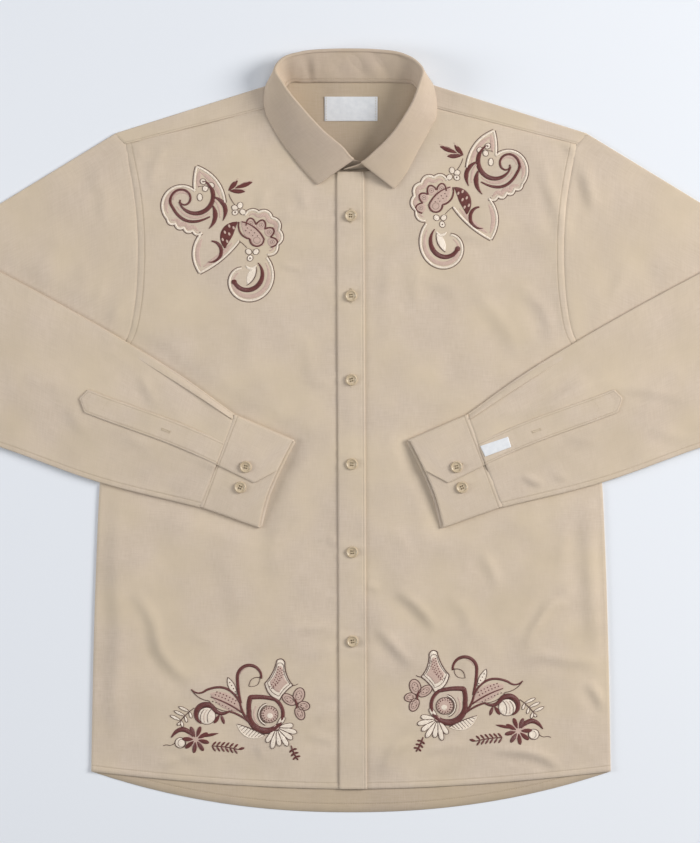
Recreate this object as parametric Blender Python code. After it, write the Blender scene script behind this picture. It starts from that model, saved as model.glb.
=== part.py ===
# Long-sleeved button-front shirt laid flat on its back, with its sleeves folded over the fronts.
# Sizes are millimetres, +Z up, collar toward +Y; the meshes are in metres.
import math
from collections import namedtuple

import bpy
import numpy as np

MM = 0.001

# Cloth layers and the room between them
CLOTH = 1.0
COLLAR_CLOTH = 1.3
CUFF_CLOTH = 1.2
GAP = 0.3
SEAM = GAP / 2
HOLE_SEAM = 0.2
EDGE_TURN = 1.3
UPPER = 2 * EDGE_TURN - CLOTH
STACK = 2 * EDGE_TURN

# Driving dimensions of the body, half widths from the centre line
NECK_HALF = 77.5
SHOULDER_NECK_Y = 375.0
TIP_X, TIP_Y = 254.5, 319.2
ARMPIT_X, ARMPIT_Y = 258.0, 74.0
HEM_HALF = 280.0
HEM_CORNER_Y = -368.0
FRONT_HEM_DROP = 19.0
BACK_TAIL_DROP = 44.0
FRONT_HEM_POWER = 1.8
BACK_HEM_POWER = 2.15
BACK_NECK_Y = 376.0
FRONT_NECK_Y = 278.6
YOKE_BACK_Y = 257.0

# Cells of the panels, and the armhole point at which the back meets the yoke
SIDE_CELLS = 17
BACK_SIDE_CELLS = 8
BACK_CELLS = 12
NECK_CELLS = 3
YOKE_CELLS = 6
YOKE_HOLE_POINT = 3

# Placket band on the left front, leaning a little across the body
PLACKET_X = (-13.8, -4.0, 6.5, 15.2)
PLACKET_LEAN = 3.0
BUTTON_STAND_X = 6.5
FRONT_BUTTON_Y = (231.4, 145.0, 54.3, -36.5, -131.5, -227.6)

# Sleeves: elbow fold line, and the edges of the forearm as it lies over the front
ELBOW_X = 443.0
ELBOW_TOP_Y, ELBOW_LOW_Y = 204.0, 2.4
FOREARM_LOW_Z = STACK + 2 * GAP
FOREARM_Z = FOREARM_LOW_Z + STACK
FOREARM_LOFT = 3.0
CUFF_LOFT = 3.6

# How far the upper layer stands off the back inside the outline
LOFT = 1.6
LOFT_REACH = 40.0
PRESS_MARGIN = 15.0
PRESS_REACH = 40.0
FOLD_FADE = 25.0
SEAM_EASE = 12.0
ELBOW_EASE = 0.3

Point = namedtuple("Point", "x y")
Fold = namedtuple("Fold", "start bend end height width")
Station = namedtuple("Station", "seam fold edge")

ARMHOLE = (
    Point(TIP_X, TIP_Y),
    Point(244, 309),
    Point(238.5, 283),
    Point(234, YOKE_BACK_Y),
    Point(230, 215),
    Point(230, 172),
    Point(233, 135),
    Point(239.5, 104),
    Point(ARMPIT_X, ARMPIT_Y),
)
SIDE_SEAM = (
    Point(HEM_HALF, HEM_CORNER_Y),
    Point(277.5, -237),
    Point(274.5, -140),
    Point(270.5, -54),
    Point(ARMPIT_X, ARMPIT_Y),
)
NECKLINE = (
    Point(16, 279.0),
    Point(37, 284),
    Point(55.5, 297.5),
    Point(71, 319.5),
    Point(NECK_HALF, 351.5),
)
FOREARM_TOP = (
    Point(ELBOW_X, ELBOW_TOP_Y),
    Point(379, 171),
    Point(249.5, 99.6),
    Point(184.7, 59.7),
    Point(125, 17),
)
FOREARM_LOW = (
    Point(ELBOW_X, ELBOW_LOW_Y),
    Point(379, -18),
    Point(272, -56),
    Point(163, -83.4),
)
CUFF_END = (
    Point(63, -9.8),
    Point(80.1, -44),
    Point(91, -70),
    Point(100.4, -105.6),
)

# Largest folds of the fronts in plan, height above the soft rise, and half width
FOLDS = (
    Fold((-232, -165), (-202, -232), (-168, -268), 1.4, 20),
    Fold((50, -165), (70, -180), (96, -208), 1.5, 16),
    Fold((188, -224), (203, -199), (236, -176), 1.4, 17),
    Fold((30, -208), (48, -228), (68, -248), 1.1, 15),
    Fold((33, -356), (48, -338), (70, -322), 1.2, 15),
    Fold((150, -338), (200, -346), (226, -356), 1.2, 16),
    Fold((196, 294), (205, 250), (214, 208), 1.2, 16),
    Fold((256, -78), (260, -192), (266, -250), 1.0, 14),
    Fold((-252, -60), (-256, -180), (-258, -300), 0.9, 16),
    Fold((-88, -222), (-60, -219), (-34, -216), 0.9, 15),
)

# Collar ring from its under end, left in the picture, round the back of the neck
UNDER_END = (
    Station((16, 284.0, 1.95), (16, 288.5, 5.5), (16, 288.5, 5.5)),
    Station((9, 284.0, 1.95), (9.2, 290.2, 8.9), (9.2, 290.2, 8.9)),
)
RING = (
    Station((2, 283.5, 1.95), (2.5, 291.9, 12.2), (-36.1, 264.9, 6.2)),
    Station((-14, 282.6, 1.95), (-10, 304.5, 17.5), (-47, 276, 5.8)),
    Station((-27, 284.0, 2.0), (-18, 311, 20.0), (-54, 284, 5.9)),
    Station((-38, 288.0, 2.1), (-26.5, 317.8, 22.0), (-61, 293, 6.0)),
    Station((-55.5, 301.5, 2.2), (-41, 334, 24.5), (-74, 310, 5.8)),
    Station((-68, 320, 2.3), (-54, 348, 26.0), (-84, 326, 5.6)),
    Station((-74.5, 344, 2.4), (-66, 361, 27.0), (-92, 343, 5.2)),
    Station((-75, 354, 2.4), (-74, 373, 27.0), (-94, 357, 5.0)),
    Station((-74.5, 364, 2.2), (-81.5, 388, 24.0), (-88, 378.5, 3.9)),
    Station((-68, 373.6, 2.0), (-75.5, 397.6, 20.0), (-72.5, 387, 1.2)),
    Station((-50, 375.4, 1.95), (-53.5, 406.2, 16.0), (-52, 382, 0.95)),
    Station((-25, 375.8, 1.95), (-26.5, 409.0, 14.5), (-26, 379.5, 0.95)),
    Station((0, 375.8, 1.95), (1, 409.5, 14.0), (0, 379, 0.95)),
    Station((25, 375.8, 1.95), (28.7, 408.6, 14.5), (27, 379.5, 0.95)),
    Station((50, 375.4, 1.95), (55.8, 404.2, 16.5), (52, 382, 0.95)),
    Station((67, 373.6, 2.0), (69.6, 396.6, 20.0), (67.5, 386, 1.2)),
    Station((74, 364, 2.2), (77, 386.9, 24.0), (84.5, 378.5, 3.9)),
    Station((75, 354, 2.4), (73.5, 371, 27.0), (92, 358, 5.0)),
    Station((74.3, 343, 2.4), (68.5, 356, 27.0), (92, 341, 5.2)),
    Station((68, 320, 2.3), (57, 337, 25.5), (84.5, 324, 5.6)),
    Station((53, 300.0, 2.2), (42.4, 319.3, 23.0), (72, 301, 6.0)),
    Station((35, 287.0, 2.2), (26, 305.3, 20.0), (58.5, 276, 6.6)),
    Station((17, 282.5, 2.4), (10.5, 292.8, 17.0), (46.4, 260.5, 6.8)),
)
OVER_END = (
    Station((4, 281.8, 2.9), (4, 288.5, 13.6), (4, 288.5, 13.4)),
    Station((-10, 281.2, 3.0), (-7.1, 281.5, 10.4), (-7.1, 281.5, 10.4)),
)
LEAF_ROLL = 3.5
LEAF_LIP = 4.0
STAND_DROP = 0.8

# Sleeve placket, cuff overlap and buttons, along and across the forearm
PLACKET_WIDTH = 25.0
PLACKET_RINGS = 6
PLACKET_POINT = 9.0
SLEEVE_MIDDLE = 0.59
SLIT_START = 0.4
CUFF_OPENING = 0.534
CUFF_UNDERLAP = 0.33
CUFF_BACK_REACH = 0.05
CUFF_WIDTH = 105.0
CUFF_EDGE = 0.02
CUFF_BACK_Z = CUFF_CLOTH / 2
CUFF_UNDER_Z = CUFF_CLOTH * 1.5 + 2 * GAP
CUFF_OVER_Z = CUFF_CLOTH * 2.5 + 3 * GAP
CuffCut = namedtuple("CuffCut", "depth opening")
CUFF_CUTS = (
    CuffCut(0.0, CUFF_OPENING),
    CuffCut(0.25, 0.545),
    CuffCut(0.5, 0.557),
    CuffCut(0.725, 0.567),
    CuffCut(0.87, 0.46),
    CuffCut(1.0, 0.36),
)
BUTTON_RADIUS = 6.3
BUTTON_HEIGHT = 2.4
BUTTON_SIDES = 12
HOLE_RADIUS = 0.85
HOLE_SPREAD = 1.6
CuffButton = namedtuple("CuffButton", "depth across layer_z")
CUFF_BUTTONS = (
    CuffButton(0.49, 0.45, CUFF_OVER_Z),
    CuffButton(0.53, 0.665, CUFF_UNDER_Z),
)

# Labels: centre and size of one, corners of the other
NECK_LABEL = (0.0, 347.0, 57.0, 26.0)
SLEEVE_LABEL = ((139.3, -17.2), (169.1, -7.1), (172.4, -17.9), (144.6, -28.2))


def clear_scene():
    for thing in list(bpy.data.objects):
        bpy.data.objects.remove(thing, do_unlink=True)


def material(name, colour, roughness):
    made = bpy.data.materials.new(name)
    made.use_nodes = True
    shader = made.node_tree.nodes["Principled BSDF"]
    shader.inputs["Base Color"].default_value = (*colour, 1.0)
    shader.inputs["Roughness"].default_value = roughness
    shader.inputs["Metallic"].default_value = 0.0
    return made


def smooth(value):
    t = np.clip(value, 0.0, 1.0)
    return t * t * (3 - 2 * t)


def knots_of(rows):
    # Share of the plan length at which each row lies
    steps = np.linalg.norm(np.diff(rows[:, :2], axis=0), axis=1)
    return np.concatenate([[0.0], np.cumsum(steps)]) / steps.sum()


def along(rows, fractions):
    # Points at fractions of the length of a smooth curve through the rows
    rows = np.asarray(rows, dtype=float)
    knots = knots_of(rows)
    slopes = np.gradient(rows, knots, axis=0)
    t = np.atleast_1d(np.asarray(fractions, dtype=float))
    i = np.clip(np.searchsorted(knots, t, side="right") - 1, 0, len(rows) - 2)
    span = (knots[i + 1] - knots[i])[:, None]
    u = (t - knots[i])[:, None] / span
    start = (2 * u**3 - 3 * u**2 + 1) * rows[i] + (u**3 - 2 * u**2 + u) * span * slopes[i]
    finish = (3 * u**2 - 2 * u**3) * rows[i + 1] + (u**3 - u**2) * span * slopes[i + 1]
    return start + finish


def line_distance(x, y, line):
    # Distance from each place to a line of points
    best = np.full(np.shape(x), np.inf)
    for (ax, ay), (bx, by) in zip(line[:-1], line[1:]):
        dx, dy = bx - ax, by - ay
        t = np.clip(((x - ax) * dx + (y - ay) * dy) / (dx * dx + dy * dy), 0, 1)
        best = np.minimum(best, np.hypot(x - ax - t * dx, y - ay - t * dy))
    return best


def is_inside(x, y, outline):
    found = np.zeros(np.shape(x), dtype=bool)
    for (ax, ay), (bx, by) in zip(outline, outline[1:] + outline[:1]):
        if ay != by:
            crossing = ax + (y - ay) * (bx - ax) / (by - ay)
            found ^= ((ay > y) != (by > y)) & (x < crossing)
    return found


def hem_y(x, drop, power):
    return HEM_CORNER_Y - drop * (1 - np.abs(np.asarray(x) / HEM_HALF) ** power)


def front_hem_y(x):
    return hem_y(x, FRONT_HEM_DROP, FRONT_HEM_POWER)


def back_hem_y(x):
    return hem_y(x, BACK_TAIL_DROP, BACK_HEM_POWER)


def shoulder_y(x):
    slope = (TIP_Y - SHOULDER_NECK_Y) / (TIP_X - NECK_HALF)
    return SHOULDER_NECK_Y + slope * (np.abs(x) - NECK_HALF)


def placket_lean(y):
    return PLACKET_LEAN * ((FRONT_NECK_Y - y) / (FRONT_NECK_Y - front_hem_y(0)) - 0.45)


SILHOUETTE = [
    (NECK_HALF, SHOULDER_NECK_Y),
    (TIP_X, TIP_Y),
    (ELBOW_X, ELBOW_TOP_Y),
    (ELBOW_X, ELBOW_LOW_Y),
    *(tuple(p) for p in SIDE_SEAM[::-1]),
    *((x, float(front_hem_y(x))) for x in (220, 150, 80, 0)),
]
FOREARM = [
    *(tuple(p) for p in FOREARM_TOP),
    *(tuple(p) for p in CUFF_END),
    *(tuple(p) for p in FOREARM_LOW[::-1]),
]


def upper_z(x, y):
    # Underside of the upper layer: soft rise inside the outline, folds, pressed flat by the forearms
    ax = np.abs(x)
    edge = line_distance(ax, y, SILHOUETTE)
    rise = LOFT * smooth(edge / LOFT_REACH)
    for fold in FOLDS:
        away = line_distance(x, y, (fold.start, fold.bend, fold.end))
        rise = rise + fold.height * np.exp(-((away / fold.width) ** 2)) * smooth(edge / FOLD_FADE)
    apart = np.where(is_inside(ax, y, FOREARM), 0, line_distance(ax, y, FOREARM + FOREARM[:1]))
    pressed = smooth((apart - PRESS_MARGIN) / PRESS_REACH)
    seam = line_distance(ax, y, [tuple(p) for p in SIDE_SEAM])
    return UPPER + rise * pressed - GAP * (1 - smooth(seam / SEAM_EASE))


def volume(points, faces):
    # Signed volume of a closed mesh: negative where its faces point inward
    total = 0.0
    for face in faces:
        a = points[face[0]]
        for b, c in zip(face[1:-1], face[2:]):
            total += np.dot(a, np.cross(points[b], points[c]))
    return total / 6


def mesh_object(name, points, faces, finish):
    points = np.asarray(points, dtype=float)
    if volume(points, faces) < 0:
        faces = [face[::-1] for face in faces]
    mesh = bpy.data.meshes.new(name)
    mesh.from_pydata([tuple(p) for p in points * MM], [], faces)
    mesh.validate()
    made = bpy.data.objects.new(name, mesh)
    mesh.materials.append(finish)
    bpy.context.scene.collection.objects.link(made)
    mesh.shade_smooth()
    mesh.set_sharp_from_angle(angle=math.radians(40))
    return made


def wall(name, outer, inner, finish, keep=None, round_rings=False):
    # Closed wall of cloth between two grids of points that match one to one
    rows, columns = outer.shape[:2]
    if keep is None:
        keep = np.ones((rows - 1, columns if round_rings else columns - 1), dtype=bool)
    points = []
    number = {}

    def corner(layer, i, j):
        key = (layer, i, j % columns)
        if key not in number:
            number[key] = len(points)
            points.append((outer, inner)[layer][i, j % columns])
        return number[key]

    faces = []
    borders = {}
    for i, j in zip(*np.nonzero(keep)):
        square = ((i, j), (i + 1, j), (i + 1, j + 1), (i, j + 1))
        a, b, c, d = (corner(0, *place) for place in square)
        faces += [(a, b, c), (a, c, d)]
        a, b, c, d = (corner(1, *place) for place in square)
        faces += [(a, c, b), (a, d, c)]
        for start, end in zip(square, square[1:] + square[:1]):
            start = (start[0], start[1] % columns)
            end = (end[0], end[1] % columns)
            if (end, start) in borders:
                del borders[(end, start)]
            else:
                borders[(start, end)] = True
    for start, end in borders:
        a, b = corner(0, *start), corner(0, *end)
        c, d = corner(1, *end), corner(1, *start)
        faces += [(b, a, d), (b, d, c)]
    return mesh_object(name, points, faces, finish)


def sheet(name, plan, low_z, thickness, finish):
    # Wall lying flat: its underside is at low_z over each plan point
    low = np.dstack([plan, low_z])
    high = np.dstack([plan, low_z + thickness])
    return wall(name, low, high, finish)


def patch(bottom, top, left, right):
    # Plan points between four edges that share their corners
    u = np.linspace(0, 1, len(bottom))[:, None, None]
    v = np.linspace(0, 1, len(left))[None, :, None]
    along_u = (1 - v) * bottom[:, None] + v * top[:, None]
    along_v = (1 - u) * left[None] + u * right[None]
    corners = (1 - u) * ((1 - v) * bottom[0] + v * top[0]) + u * ((1 - v) * bottom[-1] + v * top[-1])
    return along_u + along_v - corners


def side_edge(first_armhole, cells):
    # Side seam from the hem up, then the armhole up to one of its points
    seam = along(SIDE_SEAM, np.linspace(0, 1, cells + 1))
    hole = np.asarray(ARMHOLE[first_armhole:-1][::-1], dtype=float)
    return np.vstack([seam, hole]) - (HOLE_SEAM, 0)


def front_plan(side):
    # Columns from the centre edge outward, rows from the hem up to the neck and the yoke
    right = side_edge(1, SIDE_CELLS) * (side, 1)
    steps = np.linalg.norm(np.diff(right, axis=0), axis=1)
    rise = np.concatenate([[0.0], np.cumsum(steps)]) / steps.sum()
    centre = PLACKET_X[2::-1] if side < 0 else (BUTTON_STAND_X + GAP, PLACKET_X[3])
    strips = []
    for x in centre:
        low = float(front_hem_y(x))
        y = low + rise * (FRONT_NECK_Y - low)
        strips.append(np.column_stack([x + placket_lean(y), y]))
    strips = np.asarray(strips)
    left = strips[-1]
    neck = along(NECKLINE, np.linspace(0, 1, 5)[1:]) * (side, 1)
    yoke = along((NECKLINE[-1], ARMHOLE[1]), np.linspace(0, 1, YOKE_CELLS + 1)[1:]) * (side, 1)
    top = np.vstack([left[-1:], neck, yoke]) - (0, SEAM)
    top[0] = left[-1]
    top[-1] = right[-1]
    hem_x = np.linspace(left[0, 0], right[0, 0], len(top))
    bottom = np.column_stack([hem_x, front_hem_y(hem_x)])
    bottom[0] = left[0]
    bottom[-1] = right[0]
    return np.concatenate([strips[:-1], patch(bottom, top, left, right)])


def make_front(name, side, finish):
    plan = front_plan(side)
    sheet(name, plan, upper_z(plan[..., 0], plan[..., 1]), CLOTH, finish)
    return plan


def make_placket(right_front, left_front, finish):
    # The band is made from the points of the two fronts under it, moved out
    under = right_front[2::-1]
    over = left_front[1:2]
    plan = np.concatenate([under, over])
    plan[2] = (right_front[0] + left_front[0]) / 2
    low = upper_z(plan[..., 0], plan[..., 1]) + CLOTH + GAP
    sheet("placket", plan, low, CLOTH, finish)
    return plan


def make_back(finish):
    right = side_edge(YOKE_HOLE_POINT, BACK_SIDE_CELLS)
    right[-1, 1] = YOKE_BACK_Y - SEAM
    left = right * (-1, 1)
    across = np.linspace(-1, 1, BACK_CELLS + 1)
    hem_x = across * right[0, 0]
    bottom = np.column_stack([hem_x, back_hem_y(hem_x)])
    bottom[0] = left[0]
    bottom[-1] = right[0]
    top = np.column_stack([across * right[-1, 0], np.full(len(across), YOKE_BACK_Y - SEAM)])
    plan = patch(bottom, top, left, right)
    sheet("back", plan, np.zeros(plan.shape[:2]), CLOTH, finish)


def yoke_section(x, low_x, ridge_y, levels, front):
    # Under and upper face from the back seam over the shoulder's fold to the front seam
    xs = np.linspace(low_x, x, len(levels)) if np.isscalar(low_x) else low_x
    under = [(px, py, 0.0) for px, py in zip(xs, levels)]
    upper = [(px, py, CLOTH) for px, py in zip(xs, levels)]
    small = EDGE_TURN - CLOTH
    for turn in (45, 90, 135, 180):
        s, c = math.sin(math.radians(turn)), math.cos(math.radians(turn))
        under.append((x, ridge_y + EDGE_TURN * s, EDGE_TURN * (1 - c)))
        upper.append((x, ridge_y + small * s, EDGE_TURN - small * c))
    front_z = float(upper_z(front[0], front[1]))
    under.append((front[0], front[1], front_z + CLOTH))
    upper.append((front[0], front[1], front_z))
    return under, upper


def make_yoke(finish):
    # Sections from the centre out; those at the neck keep only their part on the back
    seam = along((NECKLINE[-1], ARMHOLE[1]), np.linspace(0, 1, YOKE_CELLS + 1)) + (0, SEAM)
    seam[-1, 0] -= HOLE_SEAM
    shares = np.array((0, 0.38, 0.72, 1))
    half = []
    for x in np.linspace(0, NECK_HALF, NECK_CELLS + 1)[:-1]:
        levels = YOKE_BACK_Y + SEAM + (BACK_NECK_Y - YOKE_BACK_Y) * shares
        half.append(yoke_section(x, x, BACK_NECK_Y, levels, seam[0]))
    hole = ARMHOLE[YOKE_HOLE_POINT::-1]
    for index, x in enumerate(np.linspace(NECK_HALF, TIP_X - HOLE_SEAM, YOKE_CELLS + 1)):
        ridge_y = float(shoulder_y(x))
        levels = YOKE_BACK_Y + SEAM + (ridge_y - YOKE_BACK_Y - SEAM) * shares
        low_x = NECK_HALF + (hole[0].x - HOLE_SEAM - NECK_HALF) * index / YOKE_CELLS
        if index == YOKE_CELLS:
            levels = [YOKE_BACK_Y + SEAM, *(p.y for p in hole[1:-1]), ridge_y]
            low_x = [p.x - HOLE_SEAM for p in hole]
        half.append(yoke_section(x, low_x, ridge_y, levels, seam[index]))
    half = np.asarray(half)
    whole = np.concatenate([half[:0:-1] * (-1, 1, 1), half])
    keep = np.ones((whole.shape[0] - 1, whole.shape[2] - 1), dtype=bool)
    middle = len(keep) // 2
    keep[middle - NECK_CELLS:middle + NECK_CELLS, len(shares) - 1:] = False
    wall("yoke", whole[:, 0], whole[:, 1], finish, keep)


def forearm_fractions(u, width):
    # Places of the nine lengthwise lines across the forearm; three follow the sleeve placket
    opening = SLEEVE_MIDDLE + (CUFF_OPENING - SLEEVE_MIDDLE) * smooth((u - SLIT_START) / (1 - SLIT_START))
    top = opening - PLACKET_WIDTH / width
    low = 1 - opening
    return (0, top / 2, top, (top + opening) / 2, opening,
            opening + low * 0.25, opening + low * 0.5, opening + low * 0.75, 1)


def flat_ring(plan, low, high, thickness):
    # Ring round a flattened tube: under layer, turned edge, upper layer, turned edge
    first = plan[0] - plan[1]
    first = first / np.linalg.norm(first)
    last = plan[-1] - plan[-2]
    last = last / np.linalg.norm(last)
    outer = [(p, q) for p, q in zip(plan, low)]
    inner = [(p, q + thickness) for p, q in zip(plan, low)]
    for place, way, bottom, top, upward in ((plan[-1], last, low[-1], high[-1], True),
                                            (plan[0], first, low[0], high[0], False)):
        middle, big = (bottom + top) / 2, (top - bottom) / 2
        turns = (45, 90, 135) if upward else (135, 90, 45)
        if not upward:
            outer += [(p, q) for p, q in zip(plan[::-1], high[::-1])]
            inner += [(p, q - thickness) for p, q in zip(plan[::-1], high[::-1])]
        for turn in turns:
            s, c = math.sin(math.radians(turn)), math.cos(math.radians(turn))
            outer.append((place + way * big * s, middle - big * c))
            small = big - thickness
            inner.append((place + way * small * s, middle - small * c))
    return outer, inner


def sleeve_rings(side):
    # Outer and inner points of each ring, from the armhole round the elbow to the cuff
    rings = []
    hole = np.asarray(ARMHOLE, dtype=float) + (HOLE_SEAM, 0)
    even = np.linspace(0, 1, 9)[:, None]
    elbow = (1 - even) * (ELBOW_X, ELBOW_TOP_Y) + even * (ELBOW_X, ELBOW_LOW_Y)
    start = forearm_fractions(0, ELBOW_TOP_Y - ELBOW_LOW_Y)
    elbow[:, 1] = ELBOW_TOP_Y + (ELBOW_LOW_Y - ELBOW_TOP_Y) * np.asarray(start)
    for u in np.linspace(0, 1, 7):
        plan = (1 - u) * hole + u * elbow
        high = upper_z(plan[:, 0] * side, plan[:, 1]) + CLOTH
        high[[0, -1]] = STACK
        outer, inner = flat_ring(plan, np.zeros(9), high, CLOTH)
        rings.append([[(p[0], p[1], q) for p, q in layer] for layer in (outer, inner)])
    outer, inner = flat_ring(elbow, np.zeros(9), np.full(9, STACK), CLOTH)
    axis_z = STACK + GAP
    for turn in (45, 90, 135, 180):
        s, c = math.sin(math.radians(turn)), math.cos(math.radians(turn))
        rings.append([
            [(p[0] + (axis_z - q) * s, p[1], axis_z - (axis_z - q) * c) for p, q in layer]
            for layer in (outer, inner)
        ])
    for u in np.linspace(0, 1, 12)[1:]:
        top = along(FOREARM_TOP, u)[0]
        low = along(FOREARM_LOW, u)[0]
        width = np.linalg.norm(top - low)
        across = np.asarray(forearm_fractions(u, width))
        inset = 1 - 2 * EDGE_TURN / width
        shrunk = 0.5 + (across - 0.5) * inset
        plan = (1 - shrunk)[:, None] * top + shrunk[:, None] * low
        loft = FOREARM_LOFT * smooth(u / ELBOW_EASE) * np.sin(np.pi * across)
        outer, inner = flat_ring(plan, -loft, np.full(9, STACK), CLOTH)
        rings.append([[(p[0], p[1], FOREARM_Z - q) for p, q in layer] for layer in (outer, inner)])
    return np.asarray(rings) * (side, 1, 1)


def make_sleeve(name, side, finish):
    rings = sleeve_rings(side)
    wall(name, rings[:, 0], rings[:, 1], finish, round_rings=True)
    return rings


def make_sleeve_placket(name, rings, finish):
    # Three lengthwise lines of the sleeve's upper face, moved out, with a pointed far end
    under = rings[-PLACKET_RINGS - 1:, 0, 2:5]
    way = under[0, 1] - under[1, 1]
    tip = under[1].copy()
    tip[1] += way / np.linalg.norm(way) * PLACKET_POINT
    low = np.concatenate([under[:0:-1], tip[None]]) + (0, 0, GAP)
    high = low + (0, 0, CLOTH)
    pointed_wall(name, low, high, finish)
    return high


def pointed_wall(name, low, high, finish):
    # Wall of a strip of two columns whose last row meets in one point at its middle
    rows = len(low) - 1
    points = []
    for layer in (low, high):
        points += [tuple(layer[i, j]) for i in range(rows) for j in range(3)]
        points.append(tuple(layer[rows, 1]))
    step = 3 * rows + 1
    faces = []

    def both(a, b, c):
        faces.append((a, b, c))
        faces.append((a + step, c + step, b + step))

    border = {}
    for i in range(rows - 1):
        for j in range(2):
            a, b = 3 * i + j, 3 * i + j + 1
            both(a, b, b + 3)
            both(a, b + 3, a + 3)
    last = 3 * (rows - 1)
    both(last, last + 1, step - 1)
    both(last + 1, last + 2, step - 1)
    for a, b, c in [f for f in faces if max(f) < step]:
        for start, end in ((a, b), (b, c), (c, a)):
            if (end, start) in border:
                del border[(end, start)]
            else:
                border[(start, end)] = True
    for a, b in border:
        faces += [(b, a, a + step), (b, a + step, b + step)]
    mesh_object(name, points, faces, finish)


def cuff_loft(depth, across):
    # Rise of the cuff's outer layers, more toward its open end
    return CUFF_LOFT * (0.7 + 0.3 * depth) * math.sin(math.pi * across)


def cuff_turn(path, across, outward, low_z, high_z, angles):
    # Turned edge of the cuff between two of its layers
    big = (high_z - low_z) / 2
    for angle in angles:
        s, c = math.sin(math.radians(angle)), math.cos(math.radians(angle))
        path.append((across + outward * big * s / CUFF_WIDTH, low_z + big * (1 + c), 0.5))


def cuff_path(depth, opening):
    # Section of the cuff: overlap, top edge, back, lower edge, underlap; (across, height, reach)
    path = []
    for v in np.linspace(opening, CUFF_EDGE, 5):
        path.append((v, CUFF_OVER_Z + cuff_loft(depth, v), 0))
    cuff_turn(path, CUFF_EDGE, -1, CUFF_BACK_Z, CUFF_OVER_Z, (45, 90, 135))
    for v in np.linspace(CUFF_EDGE, 1 - CUFF_EDGE, 5):
        path.append((v, CUFF_BACK_Z, 1))
    cuff_turn(path, 1 - CUFF_EDGE, 1, CUFF_BACK_Z, CUFF_UNDER_Z, (135, 90, 45))
    for v in np.linspace(1 - CUFF_EDGE, CUFF_UNDERLAP, 6):
        path.append((v, CUFF_UNDER_Z + cuff_loft(depth, v), 0))
    return np.asarray(path)


def cuff_place(depth, across, reach):
    # Plan point of the cuff: depth from the sleeve's end, across from its top edge
    seam = np.asarray((FOREARM_TOP[-1], FOREARM_LOW[-1]), dtype=float)
    start = seam[0] + (seam[1] - seam[0]) * across
    held = np.clip(across, 0, 1)
    end = along(CUFF_END, held)[0] + (seam[1] - seam[0]) * (across - held)
    length = np.linalg.norm(end - start)
    near = GAP * (1 - depth) / length
    return start + (end - start) * (depth * (1 + CUFF_BACK_REACH * reach) + near)


def make_cuff(name, side, finish):
    # Wall through sections from the sleeve's end to the wrist
    faces = ([], [])
    for cut in CUFF_CUTS:
        path = cuff_path(cut.depth, cut.opening)
        section = np.column_stack([path[:, 0] * CUFF_WIDTH, path[:, 1]])
        ways = np.gradient(section, axis=0)
        ways = ways / np.linalg.norm(ways, axis=1)[:, None]
        normal = np.column_stack([-ways[:, 1], ways[:, 0]])
        for face, half in zip(faces, (-CUFF_CLOTH / 2, CUFF_CLOTH / 2)):
            ring = []
            for (across, height), reach in zip(section + normal * half, path[:, 2]):
                x, y = cuff_place(cut.depth, across / CUFF_WIDTH, reach)
                ring.append((x * side, y, FOREARM_LOW_Z + height))
            face.append(ring)
    wall(name, np.asarray(faces[0]), np.asarray(faces[1]), finish)


def ring_sections(stations):
    # Fold line, neck seam and leaf edge at each station and halfway between stations
    rows = np.asarray([(*s.fold, *s.seam, *s.edge) for s in stations], dtype=float)
    knots = knots_of(rows)
    halves = (knots[:-1] + knots[1:]) / 2
    sections = along(rows, np.sort(np.concatenate([knots, halves])))
    return sections[:, 0:3], sections[:, 3:6], sections[:, 6:9]


def stand_frame(fold, seam):
    # Way down the stand, and the way out of the neck, at each section
    down = seam - fold
    down = down / np.linalg.norm(down, axis=1)[:, None]
    outward = np.cross(np.gradient(fold, axis=0), down)
    outward = outward / np.linalg.norm(outward, axis=1)[:, None]
    return down, outward


def thicken(middle, thickness):
    # Points either side of a middle surface, along its normals
    run = np.gradient(middle, axis=0)
    fall = np.gradient(middle, axis=1)
    normal = np.cross(run, fall)
    normal = normal / np.linalg.norm(normal, axis=2)[..., None]
    return middle + normal * thickness / 2, middle - normal * thickness / 2


def make_collar_stand(finish):
    fold, seam, _ = ring_sections(UNDER_END + RING + OVER_END)
    down, outward = stand_frame(fold, seam)
    top = fold + down * STAND_DROP
    shares = np.linspace(0, 1, 4)[None, :, None]
    middle = top[:, None] * (1 - shares) + seam[:, None] * shares
    half = outward[:, None] * COLLAR_CLOTH / 2
    wall("collar_stand", middle + half, middle - half, finish)


def make_collar(finish):
    # The leaf grips the top of the stand, folds over it and slopes down to its edge
    first, last = 2 * len(UNDER_END), 2 * (len(UNDER_END) + len(RING)) - 1
    fold, seam, _ = ring_sections(UNDER_END + RING + OVER_END)
    down, outward = stand_frame(fold, seam)
    fold, down, outward = (layer[first:last] for layer in (fold, down, outward))
    edge = ring_sections(RING)[2]
    away = COLLAR_CLOTH + 2 * GAP
    path = [
        fold + down * LEAF_LIP - outward * away,
        fold + down * 0.6 - outward * away,
        fold - down * away * 0.75 - outward * away * 0.75,
        fold - down * away * 0.75 + outward * away * 0.75,
        fold + down * 0.4 + outward * away,
    ]
    start = path[-1]
    depth = np.linalg.norm(edge - fold, axis=1)[:, None]
    bend = start + down * depth * 0.12 + outward * depth * 0.3
    bend[:, 2] += LEAF_ROLL * smooth((edge[:, 2] - 2) / 3)
    for t in (0.25, 0.5, 0.75, 1.0):
        path.append((1 - t) ** 2 * start + 2 * t * (1 - t) * bend + t * t * edge)
    middle = np.stack(path, axis=1)
    outer, inner = thicken(middle, COLLAR_CLOTH)
    wall("collar", inner, outer, finish)


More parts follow.
